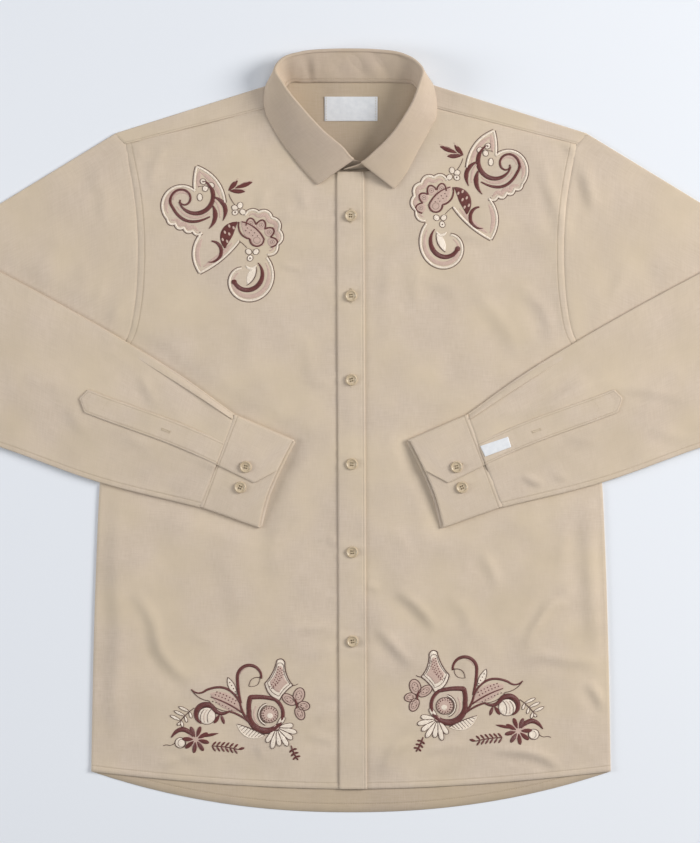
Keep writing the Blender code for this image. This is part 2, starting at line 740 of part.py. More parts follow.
def button_mesh(finish):
    # Turned disc with a raised rim and four thread holes
    profile = ((1.0, 0.0), (1.0, 0.8), (0.86, 1.0), (0.7, 0.72))
    points, faces = [], []
    for share, height in profile:
        for k in range(BUTTON_SIDES):
            a = 2 * math.pi * k / BUTTON_SIDES
            r = BUTTON_RADIUS * share
            points.append((r * math.cos(a), r * math.sin(a), BUTTON_HEIGHT * height))
    rings = len(profile)
    for i in range(rings - 1):
        for k in range(BUTTON_SIDES):
            n = (k + 1) % BUTTON_SIDES
            a, b = i * BUTTON_SIDES + k, i * BUTTON_SIDES + n
            faces.append((a, b, b + BUTTON_SIDES, a + BUTTON_SIDES))
    faces.append(tuple(range(BUTTON_SIDES))[::-1])
    faces.append(tuple(range((rings - 1) * BUTTON_SIDES, rings * BUTTON_SIDES)))
    blank = mesh_object("button_blank", points, faces, finish)
    holes = []
    hole_faces = []
    for k in range(4):
        a = math.pi / 4 + k * math.pi / 2
        cx, cy = HOLE_SPREAD * math.cos(a), HOLE_SPREAD * math.sin(a)
        first = len(holes)
        for z in (-1.0, BUTTON_HEIGHT + 1.0):
            for n in range(6):
                b = math.pi * n / 3
                holes.append((cx + HOLE_RADIUS * math.cos(b), cy + HOLE_RADIUS * math.sin(b), z))
        for n in range(6):
            m = (n + 1) % 6
            hole_faces.append((first + n, first + m, first + m + 6, first + n + 6))
        hole_faces.append(tuple(first + n for n in range(5, -1, -1)))
        hole_faces.append(tuple(first + 6 + n for n in range(6)))
    cutter = mesh_object("button_cutter", holes, hole_faces, finish)
    cut = blank.modifiers.new("thread_holes", "BOOLEAN")
    cut.operation = "DIFFERENCE"
    cut.object = cutter
    graph = bpy.context.evaluated_depsgraph_get()
    mesh = bpy.data.meshes.new_from_object(blank.evaluated_get(graph))
    mesh.name = "button"
    bpy.data.objects.remove(blank)
    bpy.data.objects.remove(cutter)
    return mesh


def put_button(name, mesh, x, y, surface_z):
    made = bpy.data.objects.new(name, mesh)
    made.location = (x * MM, y * MM, (surface_z + GAP) * MM)
    bpy.context.scene.collection.objects.link(made)


def under_button(x, y, height_at):
    # Highest point of the surface below a button
    angles = np.linspace(0, 2 * math.pi, 9)
    return max(float(height_at(x + BUTTON_RADIUS * math.cos(a) * r, y + BUTTON_RADIUS * math.sin(a) * r))
               for a in angles for r in (0, 1))


def placket_top(x, y):
    return upper_z(x, y) + 2 * CLOTH + GAP


def make_buttons(plastic):
    mesh = button_mesh(plastic)
    for number, y in enumerate(FRONT_BUTTON_Y, start=1):
        x = (PLACKET_X[0] + PLACKET_X[3]) / 2 + float(placket_lean(y))
        put_button(f"button_front_{number}", mesh, x, y, under_button(x, y, placket_top))
    for word, side in (("right", -1), ("left", 1)):
        for number, place in enumerate(CUFF_BUTTONS, start=1):
            x, y = cuff_place(place.depth, place.across, 0)
            height = FOREARM_LOW_Z + place.layer_z + CUFF_CLOTH / 2 + cuff_loft(place.depth, 0.5)
            put_button(f"button_cuff_{word}_{number}", mesh, x * side, y, height)


def flat_label(name, corners, low_z, finish):
    plan = np.asarray(corners, dtype=float).reshape(2, 2, 2)
    sheet(name, plan, low_z, CLOTH, finish)


def make_labels(placket_face, paper):
    # The neck label lies on the yoke, the small one on the left sleeve's placket
    x, y, width, depth = NECK_LABEL
    corners = [(x + a * width / 2, y + b * depth / 2) for a in (-1, 1) for b in (-1, 1)]
    flat_label("neck_label", corners, np.full((2, 2), CLOTH + GAP), paper)
    height = float(placket_face[..., 2].max()) + GAP
    a, b, c, d = SLEEVE_LABEL
    flat_label("sleeve_label", (a, d, b, c), np.full((2, 2), height), paper)


def main():
    clear_scene()
    cloth = material("tan_cotton", (0.60, 0.50, 0.37), 0.85)
    plastic = material("tan_button", (0.62, 0.50, 0.36), 0.35)
    paper = material("white_label", (0.85, 0.86, 0.88), 0.7)
    make_back(cloth)
    make_yoke(cloth)
    right_front = make_front("front_right", -1, cloth)
    left_front = make_front("front_left", 1, cloth)
    make_placket(right_front, left_front, cloth)
    make_collar_stand(cloth)
    make_collar(cloth)
    for word, side in (("right", -1), ("left", 1)):
        rings = make_sleeve(f"sleeve_{word}", side, cloth)
        face = make_sleeve_placket(f"sleeve_placket_{word}", rings, cloth)
        make_cuff(f"cuff_{word}", side, cloth)
    make_buttons(plastic)
    make_labels(face[:3], paper)


main()
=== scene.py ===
# Embroidered long-sleeved shirt laid flat, sleeves folded over the fronts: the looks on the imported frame.
# Sizes below are millimetres unless a note says otherwise, +Z up, collar toward +Y.
import math

import bpy
import numpy as np
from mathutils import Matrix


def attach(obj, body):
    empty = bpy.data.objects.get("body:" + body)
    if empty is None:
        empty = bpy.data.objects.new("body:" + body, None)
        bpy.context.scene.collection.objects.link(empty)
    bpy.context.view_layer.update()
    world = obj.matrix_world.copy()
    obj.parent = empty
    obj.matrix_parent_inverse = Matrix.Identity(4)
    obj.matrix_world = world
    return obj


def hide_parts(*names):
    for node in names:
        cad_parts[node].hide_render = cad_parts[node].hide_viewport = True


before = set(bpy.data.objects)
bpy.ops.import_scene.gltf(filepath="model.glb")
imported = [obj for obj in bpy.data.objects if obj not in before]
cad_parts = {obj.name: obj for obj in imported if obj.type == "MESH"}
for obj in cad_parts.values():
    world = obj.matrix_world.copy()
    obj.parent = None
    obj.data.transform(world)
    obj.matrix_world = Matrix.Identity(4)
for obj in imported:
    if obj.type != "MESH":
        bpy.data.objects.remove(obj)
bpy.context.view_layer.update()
mm = 0.001


# Small helpers: numbers, lines, noise
def smooth(value):
    t = np.clip(value, 0.0, 1.0)
    return t * t * (3 - 2 * t)


def runLengths(line):
    # way covered from the first point to each one
    return np.concatenate([[0.0], np.cumsum(np.linalg.norm(np.diff(line, axis=0), axis=1))])


def knotsOf(rows):
    covered = runLengths(rows[:, :2])
    return covered / covered[-1]


def along(rows, shares):
    # points at shares of the plan length of a smooth curve through the rows
    rows = np.asarray(rows, dtype=float)
    shares = np.asarray(shares, dtype=float)
    knots = knotsOf(rows)
    slopes = np.gradient(rows, knots, axis=0)
    t = shares.ravel()
    i = np.clip(np.searchsorted(knots, t, side="right") - 1, 0, len(rows) - 2)
    span = (knots[i + 1] - knots[i])[:, None]
    u = (t - knots[i])[:, None] / span
    start = (2 * u**3 - 3 * u**2 + 1) * rows[i] + (u**3 - 2 * u**2 + u) * span * slopes[i]
    finish = (3 * u**2 - 2 * u**3) * rows[i + 1] + (u**3 - u**2) * span * slopes[i + 1]
    return (start + finish).reshape(*shares.shape, rows.shape[1])


def nearest(x, y, line):
    # distance from a line, the side (1 on the left of its travel) and the share of its pieces passed
    best, side, share = np.full(np.shape(x), 1e6), np.ones(np.shape(x)), np.zeros(np.shape(x))
    for number, ((ax, ay), (bx, by)) in enumerate(zip(line[:-1], line[1:])):
        dx, dy = bx - ax, by - ay
        t = np.clip(((x - ax) * dx + (y - ay) * dy) / (dx * dx + dy * dy + 1e-9), 0, 1)
        away = np.hypot(x - ax - t * dx, y - ay - t * dy)
        closer = away < best
        best = np.where(closer, away, best)
        side = np.where(closer, np.where((y - ay) * dx - (x - ax) * dy >= 0, 1.0, -1.0), side)
        share = np.where(closer, (number + t) / (len(line) - 1), share)
    return best, side, share


def lineDistance(x, y, line):
    return nearest(x, y, line)[0]


def leftOf(x, y, line):
    best, side, _ = nearest(x, y, line)
    return best * side


def isInside(x, y, outline):
    found = np.zeros(np.shape(x), dtype=bool)
    for (ax, ay), (bx, by) in zip(outline, outline[1:] + outline[:1]):
        if ay != by:
            crossing = ax + (y - ay) * (bx - ax) / (by - ay)
            found ^= ((ay > y) != (by > y)) & (x < crossing)
    return found


def softNoise(x, y, size, seed):
    # seeded lumps of one size, about -1 to 1
    table = np.random.default_rng(seed).uniform(-1, 1, (97, 97))
    gx, gy = np.asarray(x) / size, np.asarray(y) / size
    ix, iy = np.floor(gx).astype(int), np.floor(gy).astype(int)
    fx, fy = smooth(gx - ix), smooth(gy - iy)
    ix, iy = ix % 97, iy % 97
    jx, jy = (ix + 1) % 97, (iy + 1) % 97
    low = table[ix, iy] * (1 - fx) + table[jx, iy] * fx
    high = table[ix, jy] * (1 - fx) + table[jx, jy] * fx
    return low * (1 - fy) + high * fy


def turnedNoise(x, y, angle, longSize, shortSize, seed):
    # lumps drawn out along one way, as drag lines in cloth are
    c, s = math.cos(math.radians(angle)), math.sin(math.radians(angle))
    return softNoise((x * c + y * s) / longSize, (y * c - x * s) / shortSize, 1.0, seed)


def creaseHeight(x, y, rows):
    # each crease is a crest on its right-hand or upper side and a shallower trough on the other
    total = np.zeros(np.shape(x))
    for points, height, width in rows:
        (ax, ay), (bx, by) = points[0], points[-1]
        if (by - ay) - 0.3 * (bx - ax) < 0:
            points = points[::-1]
        away, side, share = nearest(x, y, along(points, np.linspace(0, 1, 4 * len(points))))
        off = -away * side
        crest = np.exp(-(((off - width * 0.9) / width) ** 2))
        trough = np.exp(-(((off + width) / (1.3 * width)) ** 2))
        total += height * np.sin(np.pi * share) ** 0.8 * (crest - 0.5 * trough)
    return total


# Mesh makers
def shell(name, outer, inner, way, finish, keep=None, wrap=False, values=None):
    # closed cloth wall between two matching grids of points, rims rounded; way is the weave's place in mm
    rows, columns = outer.shape[:2]
    count = rows * columns
    ids = np.arange(count).reshape(rows, columns)
    if wrap:
        ids = np.concatenate([ids, ids[:, :1]], axis=1)
    quads = np.stack([ids[:-1, :-1], ids[1:, :-1], ids[1:, 1:], ids[:-1, 1:]], axis=-1).reshape(-1, 4)
    if keep is not None:
        quads = quads[keep.ravel()]
    flatOuter, flatInner = outer.reshape(-1, 3), inner.reshape(-1, 3)
    starts = quads.ravel()
    ends = np.roll(quads, -1, axis=1).ravel()
    owner = np.repeat(np.arange(len(quads)), 4)
    border = ~np.isin(starts * count + ends, ends * count + starts)
    s, e, q = starts[border], ends[border], owner[border]
    centre = flatOuter[quads].mean(axis=1)[q]
    run = flatOuter[e] - flatOuter[s]
    run /= np.linalg.norm(run, axis=1)[:, None] + 1e-9
    out = (flatOuter[s] + flatOuter[e]) / 2 - centre
    out -= run * (out * run).sum(axis=1)[:, None]
    out /= np.linalg.norm(out, axis=1)[:, None] + 1e-9
    push = np.zeros((count, 3))
    np.add.at(push, s, out)
    np.add.at(push, e, out)
    rim = np.unique(np.concatenate([s, e]))
    push = push[rim] / (np.linalg.norm(push[rim], axis=1)[:, None] + 1e-9)
    thick = np.linalg.norm(flatOuter[rim] - flatInner[rim], axis=1)[:, None]
    middle = (flatOuter[rim] + flatInner[rim]) / 2 + push * thick * 0.45
    number = np.full(count, -1)
    number[rim] = np.arange(len(rim)) + 2 * count
    faces = np.concatenate([
        quads,
        quads[:, ::-1] + count,
        np.stack([e, s, number[s], number[e]], axis=1),
        np.stack([number[e], number[s], s + count, e + count], axis=1),
    ])
    points = np.concatenate([flatOuter, flatInner, middle])
    a, b, c, d = (points[faces[:, k]] for k in range(4))
    signed = (a * np.cross(b, c)).sum() + (a * np.cross(c, d)).sum()
    if signed < 0:
        faces = faces[:, ::-1]
    flatWay = way.reshape(-1, 2)
    ways = np.concatenate([flatWay, flatWay, flatWay[rim]])
    extra = {}
    for key, grid in (values or {}).items():
        flat = np.asarray(grid, dtype=float).ravel()
        extra[key] = np.concatenate([flat, flat, flat[rim]])
    return putMesh(name, points, faces, finish, ways, extra)


def ringQuads(low, high, count):
    # faces between two closed rings of points, from their first numbers
    after = [(k + 1) % count for k in range(count)]
    return [[low + k, low + m, high + m, high + k] for k, m in enumerate(after)]


def putMesh(name, points, faces, finish, ways=None, extra=None, slots=None):
    mixed = isinstance(faces, list)    # faces with different numbers of corners come as a list
    used = np.unique(np.concatenate([np.asarray(face).ravel() for face in faces]) if mixed else faces)
    fresh = np.full(len(points), -1)
    fresh[used] = np.arange(len(used))
    rows = [fresh[np.asarray(face)].tolist() for face in faces] if mixed else fresh[faces].tolist()
    mesh = bpy.data.meshes.new(name)
    mesh.from_pydata((points[used] * mm).tolist(), [], rows)
    if ways is not None:
        layer = mesh.uv_layers.new(name="clothWay")
        index = np.zeros(len(mesh.loops), dtype=np.int32)
        mesh.loops.foreach_get("vertex_index", index)
        layer.data.foreach_set("uv", (ways[used][index] * mm).ravel())
    for key, values in (extra or {}).items():
        mesh.attributes.new(key, "FLOAT", "POINT").data.foreach_set("value", values[used])
    for one in (finish if isinstance(finish, list) else [finish]):
        mesh.materials.append(one)
    if slots is not None:
        mesh.polygons.foreach_set("material_index", np.asarray(slots, dtype=np.int32))
    mesh.polygons.foreach_set("use_smooth", np.ones(len(mesh.polygons), dtype=bool))
    mesh.update()
    made = bpy.data.objects.new(name, mesh)
    bpy.context.scene.collection.objects.link(made)
    return made


# Materials
def linear(code):
    # sRGB hex to Blender's linear colour
    parts = [int(code[k:k + 2], 16) / 255 for k in (1, 3, 5)]
    return (*[v / 12.92 if v <= 0.04045 else ((v + 0.055) / 1.055) ** 2.4 for v in parts], 1.0)


def addNode(tree, kind, sets=None, links=None):
    # one node, its settings by name, its inputs from values or from other nodes' sockets
    node = tree.nodes.new(kind)
    for name, value in (sets or {}).items():
        setattr(node, name, value)
    for key, source in (links or {}).items():
        if isinstance(source, bpy.types.NodeSocket):
            tree.links.new(source, node.inputs[key])
        else:
            node.inputs[key].default_value = source
    return node


def newMaterial(name, roughness, sheen=0.0, sheenRough=0.5):
    made = bpy.data.materials.new(name)
    made.use_nodes = True
    shader = made.node_tree.nodes["Principled BSDF"]
    shader.inputs["Roughness"].default_value = roughness
    shader.inputs["Sheen Weight"].default_value = sheen
    shader.inputs["Sheen Roughness"].default_value = sheenRough
    shader.inputs["IOR"].default_value = 1.46
    return made, made.node_tree, shader


def mathNode(tree, operation, *values, clamp=False):
    sets = {"operation": operation, "use_clamp": clamp}
    return addNode(tree, "ShaderNodeMath", sets, dict(enumerate(values))).outputs[0]


def rangeNode(tree, value, fromLow, fromHigh, toLow, toHigh, kind="LINEAR"):
    return addNode(tree, "ShaderNodeMapRange", {"interpolation_type": kind},
                   {"Value": value, "From Min": fromLow, "From Max": fromHigh, "To Min": toLow,
                    "To Max": toHigh}).outputs[0]


def noiseNode(tree, place, scale, detail, **more):
    links = {"Vector": place, "Scale": scale, "Detail": detail, **more}
    return addNode(tree, "ShaderNodeTexNoise", links=links).outputs["Fac"]


def mixColours(tree, share, first, second):
    return addNode(tree, "ShaderNodeMix", {"data_type": "RGBA"}, {0: share, 6: first, 7: second}).outputs[2]


def bumpNode(tree, height, depth, strength, **more):
    links = {"Height": height, "Distance": depth * mm, "Strength": strength, **more}
    return addNode(tree, "ShaderNodeBump", links=links).outputs[0]


def clothPlace(tree):
    # the weave's own place in metres, whole and as its two parts
    way = addNode(tree, "ShaderNodeUVMap", {"uv_map": "clothWay"}).outputs[0]
    parts = addNode(tree, "ShaderNodeSeparateXYZ", links={0: way})
    return way, parts.outputs[0], parts.outputs[1]


def finishMaterial(made, tree, shader, base, normal):
    tree.links.new(base, shader.inputs["Base Color"])
    tree.links.new(normal, shader.inputs["Normal"])
    return made


def sineOf(tree, source, period):
    # sine wave with a period in metres of the weave's own place
    return mathNode(tree, "SINE", mathNode(tree, "MULTIPLY", source, 2 * math.pi / period))


clothLook = {
    "light": "#D5C4B2", "dark": "#CAB8A4", "warm": "#D2C0A6", "grooveShade": "#8B765C",
    "thread": 0.8,    # mm between threads, drawn coarser than the real 0.3, which would not show
    "weaveDepth": 0.04, "crumpleDepth": 0.3, "seamDepth": 0.4,
    "slubShort": 1.1, "slubLong": 14.0, "roughness": 0.88, "sheen": 0.12,
}


def cottonCloth(name, look):
    # washed cotton twill: matt, faint slubs both ways, with painted shade darkening its stitched grooves
    made, tree, shader = newMaterial(name, look["roughness"], look["sheen"], 0.6)
    way, right, up = clothPlace(tree)
    period = look["thread"] * mm
    weave = mathNode(tree, "MULTIPLY", sineOf(tree, right, period), sineOf(tree, up, period))
    slubs = []
    for long, short in ((1, 0), (0, 1)):
        scale = [0.0, 0.0, 1.0]
        scale[long] = 1 / (look["slubLong"] * mm)
        scale[short] = 1 / (look["slubShort"] * mm)
        stretch = addNode(tree, "ShaderNodeMapping", links={"Vector": way, "Scale": scale})
        slubs.append(noiseNode(tree, stretch.outputs[0], 1.0, 1.0))
    streak = rangeNode(tree, mathNode(tree, "ADD", *slubs), 0.6, 1.45, 0.0, 1.0)
    threads = rangeNode(tree, weave, -1.0, 1.0, -0.06, 0.08)
    shade = mathNode(tree, "ADD", streak, threads, clamp=True)
    base = mixColours(tree, shade, linear(look["dark"]), linear(look["light"]))
    washed = rangeNode(tree, noiseNode(tree, way, 24.0, 3.0), 0.3, 0.7, 0.95, 1.04)
    warmth = rangeNode(tree, noiseNode(tree, way, 13.0, 2.0), 0.38, 0.64, 0.0, 0.75)
    tinted = mixColours(tree, warmth, base, linear(look["warm"]))
    uneven = addNode(tree, "ShaderNodeHueSaturation", links={"Color": tinted, "Value": washed})
    signed = addNode(tree, "ShaderNodeAttribute", {"attribute_name": "seamDist"}).outputs["Fac"]
    seam = mathNode(tree, "ABSOLUTE", signed)
    # painted shade: the colour darkens within a millimetre of each stitched line, standing in for the shade
    # in its groove
    grooveShade = rangeNode(tree, seam, 0.1, 0.9, 0.2, 0.0, "SMOOTHSTEP")
    shadedInGrooves = mixColours(tree, grooveShade, uneven.outputs[0], linear(look["grooveShade"]))
    fine = bumpNode(tree, weave, look["weaveDepth"], 0.7)
    crumple = noiseNode(tree, way, 110.0, 3.0, Roughness=0.55)
    soft = bumpNode(tree, crumple, look["crumpleDepth"], 0.5, Normal=fine)
    nearSeam = rangeNode(tree, seam, 0.5, 7.0, 1.0, 0.0, "SMOOTHSTEP")
    pucker = mathNode(tree, "MULTIPLY", noiseNode(tree, way, 170.0, 1.0), nearSeam)
    dip = rangeNode(tree, seam, 0.0, 1.5, 0.0, 0.6, "SMOOTHSTEP")
    sewn = bumpNode(tree, mathNode(tree, "ADD", pucker, dip), look["seamDepth"], 0.8, Normal=soft)
    return finishMaterial(made, tree, shader, shadedInGrooves, sewn)


def stitchThread(name, light, dark, period, roughness, skew=0.0, depth=0.12):
    # spun or filament thread laid side by side: ridges along the stitches, each a slightly different tone,
    # with painted light on each ridge's crest and painted shade in the furrows between
    made, tree, shader = newMaterial(name, roughness, 0.25, 0.4)
    _, right, up = clothPlace(tree)
    lean = mathNode(tree, "MULTIPLY_ADD", up, skew, right)
    ridge = sineOf(tree, lean, period * mm)
    strand = mathNode(tree, "FLOOR", mathNode(tree, "MULTIPLY", lean, 1 / (period * mm)))
    tone = addNode(tree, "ShaderNodeTexWhiteNoise", {"noise_dimensions": "1D"}, {"W": strand})
    # painted light and shade: the colour is lighter on each ridge's crest and darker in the furrows
    lit = rangeNode(tree, ridge, -1.0, 1.0, 0.15, 0.7)
    shade = mathNode(tree, "MULTIPLY_ADD", tone.outputs["Value"], 0.3, lit, clamp=True)
    base = mixColours(tree, shade, linear(dark), linear(light))
    return finishMaterial(made, tree, shader, base, bumpNode(tree, ridge, depth, 0.8))


def castResin(name, light, dark):
    # cast polyester button: glossy face, cloudy swirls in the body colour
    made, tree, shader = newMaterial(name, 0.28)
    place = addNode(tree, "ShaderNodeTexCoord").outputs["Object"]
    cloud = noiseNode(tree, place, 260.0, 4.0, Distortion=1.6)
    tree.links.new(rangeNode(tree, cloud, 0.0, 1.0, 0.22, 0.36), shader.inputs["Roughness"])
    base = mixColours(tree, cloud, linear(dark), linear(light))
    return finishMaterial(made, tree, shader, base, bumpNode(tree, cloud, 0.05, 0.3))


def wovenTape(name, light, dark):
    # bare damask label tape: bright, very fine cross ribs
    made, tree, shader = newMaterial(name, 0.7, 0.2, 0.4)
    way, _, up = clothPlace(tree)
    rib = sineOf(tree, up, 0.9 * mm)
    shade = mathNode(tree, "MULTIPLY_ADD", rib, 0.12, noiseNode(tree, way, 160.0, 2.0), clamp=True)
    base = mixColours(tree, shade, linear(dark), linear(light))
    return finishMaterial(made, tree, shader, base, bumpNode(tree, rib, 0.05, 0.6))


cotton = cottonCloth("washedCottonTwill", clothLook)
# darker copy of the cloth: painted shade on the shirt tail under the front hem and the inside of the back
# neck under the collar
paintedShadeLook = dict(clothLook, light="#C4B29E", dark="#B9A68F", warm="#C1AE93")
# darker copy of the cloth for the collar and stand: painted shade
collarShadeLook = dict(clothLook, light="#C7B5A3", dark="#BDAA97", warm="#C5B29A")
cottonPaintedShade = cottonCloth("washedCottonTwillPaintedShade", paintedShadeLook)
collarShadedCotton = cottonCloth("collarPaintedShadeTwill", collarShadeLook)
sewingThread = stitchThread("spunSewingThread", "#D6C6AC", "#A8967A", 1.2, 0.7)
wineFloss = stitchThread("wineRayonFloss", "#783E39", "#4A2320", 1.3, 0.42, 0.5)
creamFloss = stitchThread("creamRayonFloss", "#FFF2E2", "#E2CFBA", 1.3, 0.42, 0.5)
pinkFloss = stitchThread("palePinkFloss", "#D1B6A8", "#BC9F91", 1.6, 0.6, 0.3, 0.06)
brownFloss = stitchThread("brownOutlineFloss", "#6B4A40", "#4A3029", 1.6, 0.55)
resin = castResin("castResinButton", "#D8C7AC", "#B29B7A")
buttonThread = stitchThread("waxedButtonThread", "#8E7754", "#5F4D33", 0.7, 0.6)
tape = wovenTape("wovenLabelTape", "#F2F3F5", "#D8DBE0")
print("materials made")

# Body of the shirt: half sizes from the centre line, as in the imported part
body = {
    "neckHalf": 77.5, "shoulderNeckY": 375.0, "tip": (254.5, 319.2),
    "hemHalf": 280.0, "hemCornerY": -368.0, "frontDrop": 19.0, "tailDrop": 44.0,
    "backNeckY": 376.0, "frontNeckY": 278.6, "yokeBackY": 257.0,
    "cloth": 1.0, "wall": 0.8, "gap": 0.3, "turn": 1.3, "loft": 2.3, "loftReach": 46.0,
    "pressMargin": 3.0, "pressReach": 22.0, "hemStitch": 6.2, "tailStitch": 8.6, "armStitch": 7.0,
    "foldGain": 1.25, "creaseGain": 1.4, "frontColumns": 60, "seamDip": 0.6, "seamDipReach": 2.0,
    "hemRoll": 0.5, "hemRollAt": 2.5, "hemRollReach": 3.0,
}
noSeam = 40.0    # farther from any sewn line than its puckers reach
stack = 2 * body["turn"]
upper = stack - body["cloth"]
armhole = ((254.5, 319.2), (244, 309), (238.5, 283), (234, 257), (230, 215), (230, 172), (233, 135),
           (239.5, 104), (258, 74))
sideSeam = ((280, -368), (277.5, -237), (274.5, -140), (270.5, -54), (258, 74))
neckline = ((16, 279), (37, 284), (55.5, 297.5), (71, 319.5), (77.5, 351.5))
forearmTop = ((443, 204), (379, 171), (249.5, 99.6), (184.7, 59.7), (125, 17))
forearmLow = ((443, 2.4), (379, -18), (272, -56), (163, -83.4))
cuffEnd = ((63, -9.8), (80.1, -44), (91, -70), (100.4, -105.6))

# Broad folds (start, bend, end, height, half width), then creases (points, height, half width)
broadFolds = (
    ((-232, -165), (-202, -232), (-168, -268), 1.2, 20), ((50, -165), (70, -180), (96, -208), 1.0, 16),
    ((188, -224), (203, -199), (236, -176), 1.0, 17), ((30, -208), (48, -228), (68, -248), 0.8, 15),
    ((33, -356), (48, -338), (70, -322), 0.9, 15), ((150, -338), (200, -346), (226, -356), 0.9, 16),
    ((196, 294), (205, 250), (214, 208), 1.0, 16), ((256, -78), (260, -192), (266, -250), 1.0, 14),
    ((-252, -60), (-256, -180), (-258, -300), 0.9, 16), ((-88, -222), (-60, -219), (-34, -216), 0.7, 15),
)
bodyCreases = (
    (((-239, -175), (-219, -207), (-210, -241), (-192, -263), (-174, -278)), 1.9, 6.5),
    (((-258, -65), (-262, -140), (-258, -227), (-262, -291), (-258, -356)), 1.2, 9),
    (((-28, -116), (-15, -127)), 0.7, 4), (((-26, -180), (-15, -175)), 0.6, 4),
    (((-66, -220), (-21, -215)), 0.9, 5), (((-45, -241), (-18, -228)), 0.9, 5),
    (((-41, -311), (-15, -290)), 0.9, 5), (((-51, -331), (-15, -341)), 0.7, 5),
    (((-210, -358), (-189, -349)), 0.8, 5), (((-185, -356), (-157, -358)), 0.7, 5),
    (((-104, -337), (-98, -358)), 0.6, 4), (((-68, 236), (-92, 200)), 0.9, 6),
    (((-96, 262), (-106, 226)), 0.8, 6), (((-60, 262), (-52, 232)), 0.7, 6),
    (((-238, 308), (-229, 291)), 0.8, 5), (((-214, 296), (-222, 262)), 0.9, 6),
    (((-205, 308), (-214, 291)), 0.7, 5), (((-69, 220), (-18, 223)), 0.7, 5),
    (((-78, 175), (-52, 171)), 0.8, 4), (((-119, 117), (-119, 58)), 0.6, 9),
    (((-54, 102), (-49, 49)), 0.5, 7), (((-45, 46), (-18, 49)), 0.6, 5),
    (((-280, 283), (-282, 254)), 1.0, 8), (((-270, 267), (-275, 226)), 1.2, 7),
    (((-282, 143), (-267, 161)), 1.1, 5), (((-267, 122), (-249, 134)), 1.5, 4.5),
    (((-303, 195), (-288, 141)), 0.6, 9), (((-336, 216), (-310, 182)), 0.6, 9),
    (((-158, -119), (-133, -183), (-129, -227)), 0.5, 10), (((-96, -97), (-87, -162)), 0.5, 9),
    (((-249, 0), (-228, -43), (-217, -75)), 0.6, 8), (((-174, -227), (-148, -235)), 0.5, 6),
    (((224, 311), (244, 291)), 0.9, 5), (((245, 286), (257, 236)), 2.0, 6),
    (((212, 262), (222, 232), (226, 200)), 1.1, 7), (((200, 294), (210, 251), (220, 208)), 1.0, 6.5),
    (((105, 211), (149, 200)), 0.7, 5), (((63, 190), (64, 122)), 0.7, 8), (((67, 161), (117, 143)), 0.7, 7),
    (((38, 190), (28, 131)), 0.6, 7), (((126, 149), (164, 102), (176, 73)), 0.8, 8),
    (((176, 155), (205, 122), (212, 85)), 0.9, 7), (((37, -104), (59, -139)), 0.7, 7),
    (((137, -131), (156, -173)), 0.9, 6), (((44, -175), (65, -190), (90, -218)), 1.6, 5.5),
    (((14, -169), (29, -175)), 0.9, 4), (((99, -180), (118, -200), (122, -225)), 0.8, 7),
    (((183, -230), (198, -205), (216, -184), (233, -181)), 1.7, 5),
    (((173, -260), (201, -248), (226, -252), (269, -256)), 1.0, 6), (((24, -215), (62, -256)), 1.6, 5.5),
    (((251, -273), (273, -305)), 1.7, 6), (((29, -364), (42, -343), (65, -328)), 1.5, 5),
    (((80, -351), (125, -341)), 0.9, 5), (((150, -349), (205, -356), (226, -371)), 1.5, 5),
    (((251, -79), (254, -192), (261, -245)), 1.3, 8), (((226, -97), (217, -151)), 0.6, 8),
    (((85, -97), (102, -140)), 0.5, 8), (((161, -281), (183, -324)), 0.5, 8),
    (((273, 141), (293, 173)), 0.8, 6), (((269, 97), (297, 117)), 1.1, 5),
    (((312, 205), (336, 151)), 0.6, 9), (((112, -227), (129, -291)), 0.5, 8),
)
armCreases = (
    (((-232, 58), (-213, 24)), 1.2, 5.5), (((-311, 25), (-291, -7)), 0.8, 6),
    (((-357, 54), (-314, 37)), 0.6, 7), (((-214, 75), (-168, 41), (-131, 10)), 0.8, 4.5),
    (((-271, 87), (-239, 63)), 0.6, 6), (((-249, -11), (-217, -23)), 0.5, 6),
    (((158, 21), (206, 31), (246, 52), (284, 64)), 1.9, 6.5), (((265, 42), (312, 39), (368, 28)), 0.9, 5),
    (((156, 35), (204, 54), (247, 73)), 0.7, 4), (((182, -52), (206, -62)), 1.3, 4),
    (((215, -52), (235, -55)), 0.8, 4), (((226, -11), (269, -19)), 0.6, 6),
    (((312, 0), (366, -17)), 0.7, 7),
)


def hemY(x, drop, power):
    return body["hemCornerY"] - drop * (1 - np.abs(np.asarray(x) / body["hemHalf"]) ** power)


def frontHemY(x):
    return hemY(x, body["frontDrop"], 1.8)


def backHemY(x):
    return hemY(x, body["tailDrop"], 2.15)


silhouette = [(body["neckHalf"], body["shoulderNeckY"]), body["tip"], forearmTop[0], forearmLow[0],
              *sideSeam[::-1], *((x, float(frontHemY(x))) for x in (220, 150, 80, 0))]
forearm = [*forearmTop, *cuffEnd, *forearmLow[::-1]]
yokeSeam = (neckline[-1], armhole[1])
placketSizes = {
    "left": -13.8, "right": 15.2, "lean": 3.0, "stitch": 2.2, "pad": 0.3, "lift": 0.4,
    "pucker": 0.28, "puckerReach": 17, "puckerTurn": 0.42, "waviness": 0.22,
}
placketWidth = placketSizes["right"] - placketSizes["left"]
buttonRow = (231.4, 145.0, 54.3, -36.5, -131.5, -227.6)


def placketLean(y):
    full = body["frontNeckY"] - frontHemY(0)
    return placketSizes["lean"] * ((body["frontNeckY"] - y) / full - 0.45)


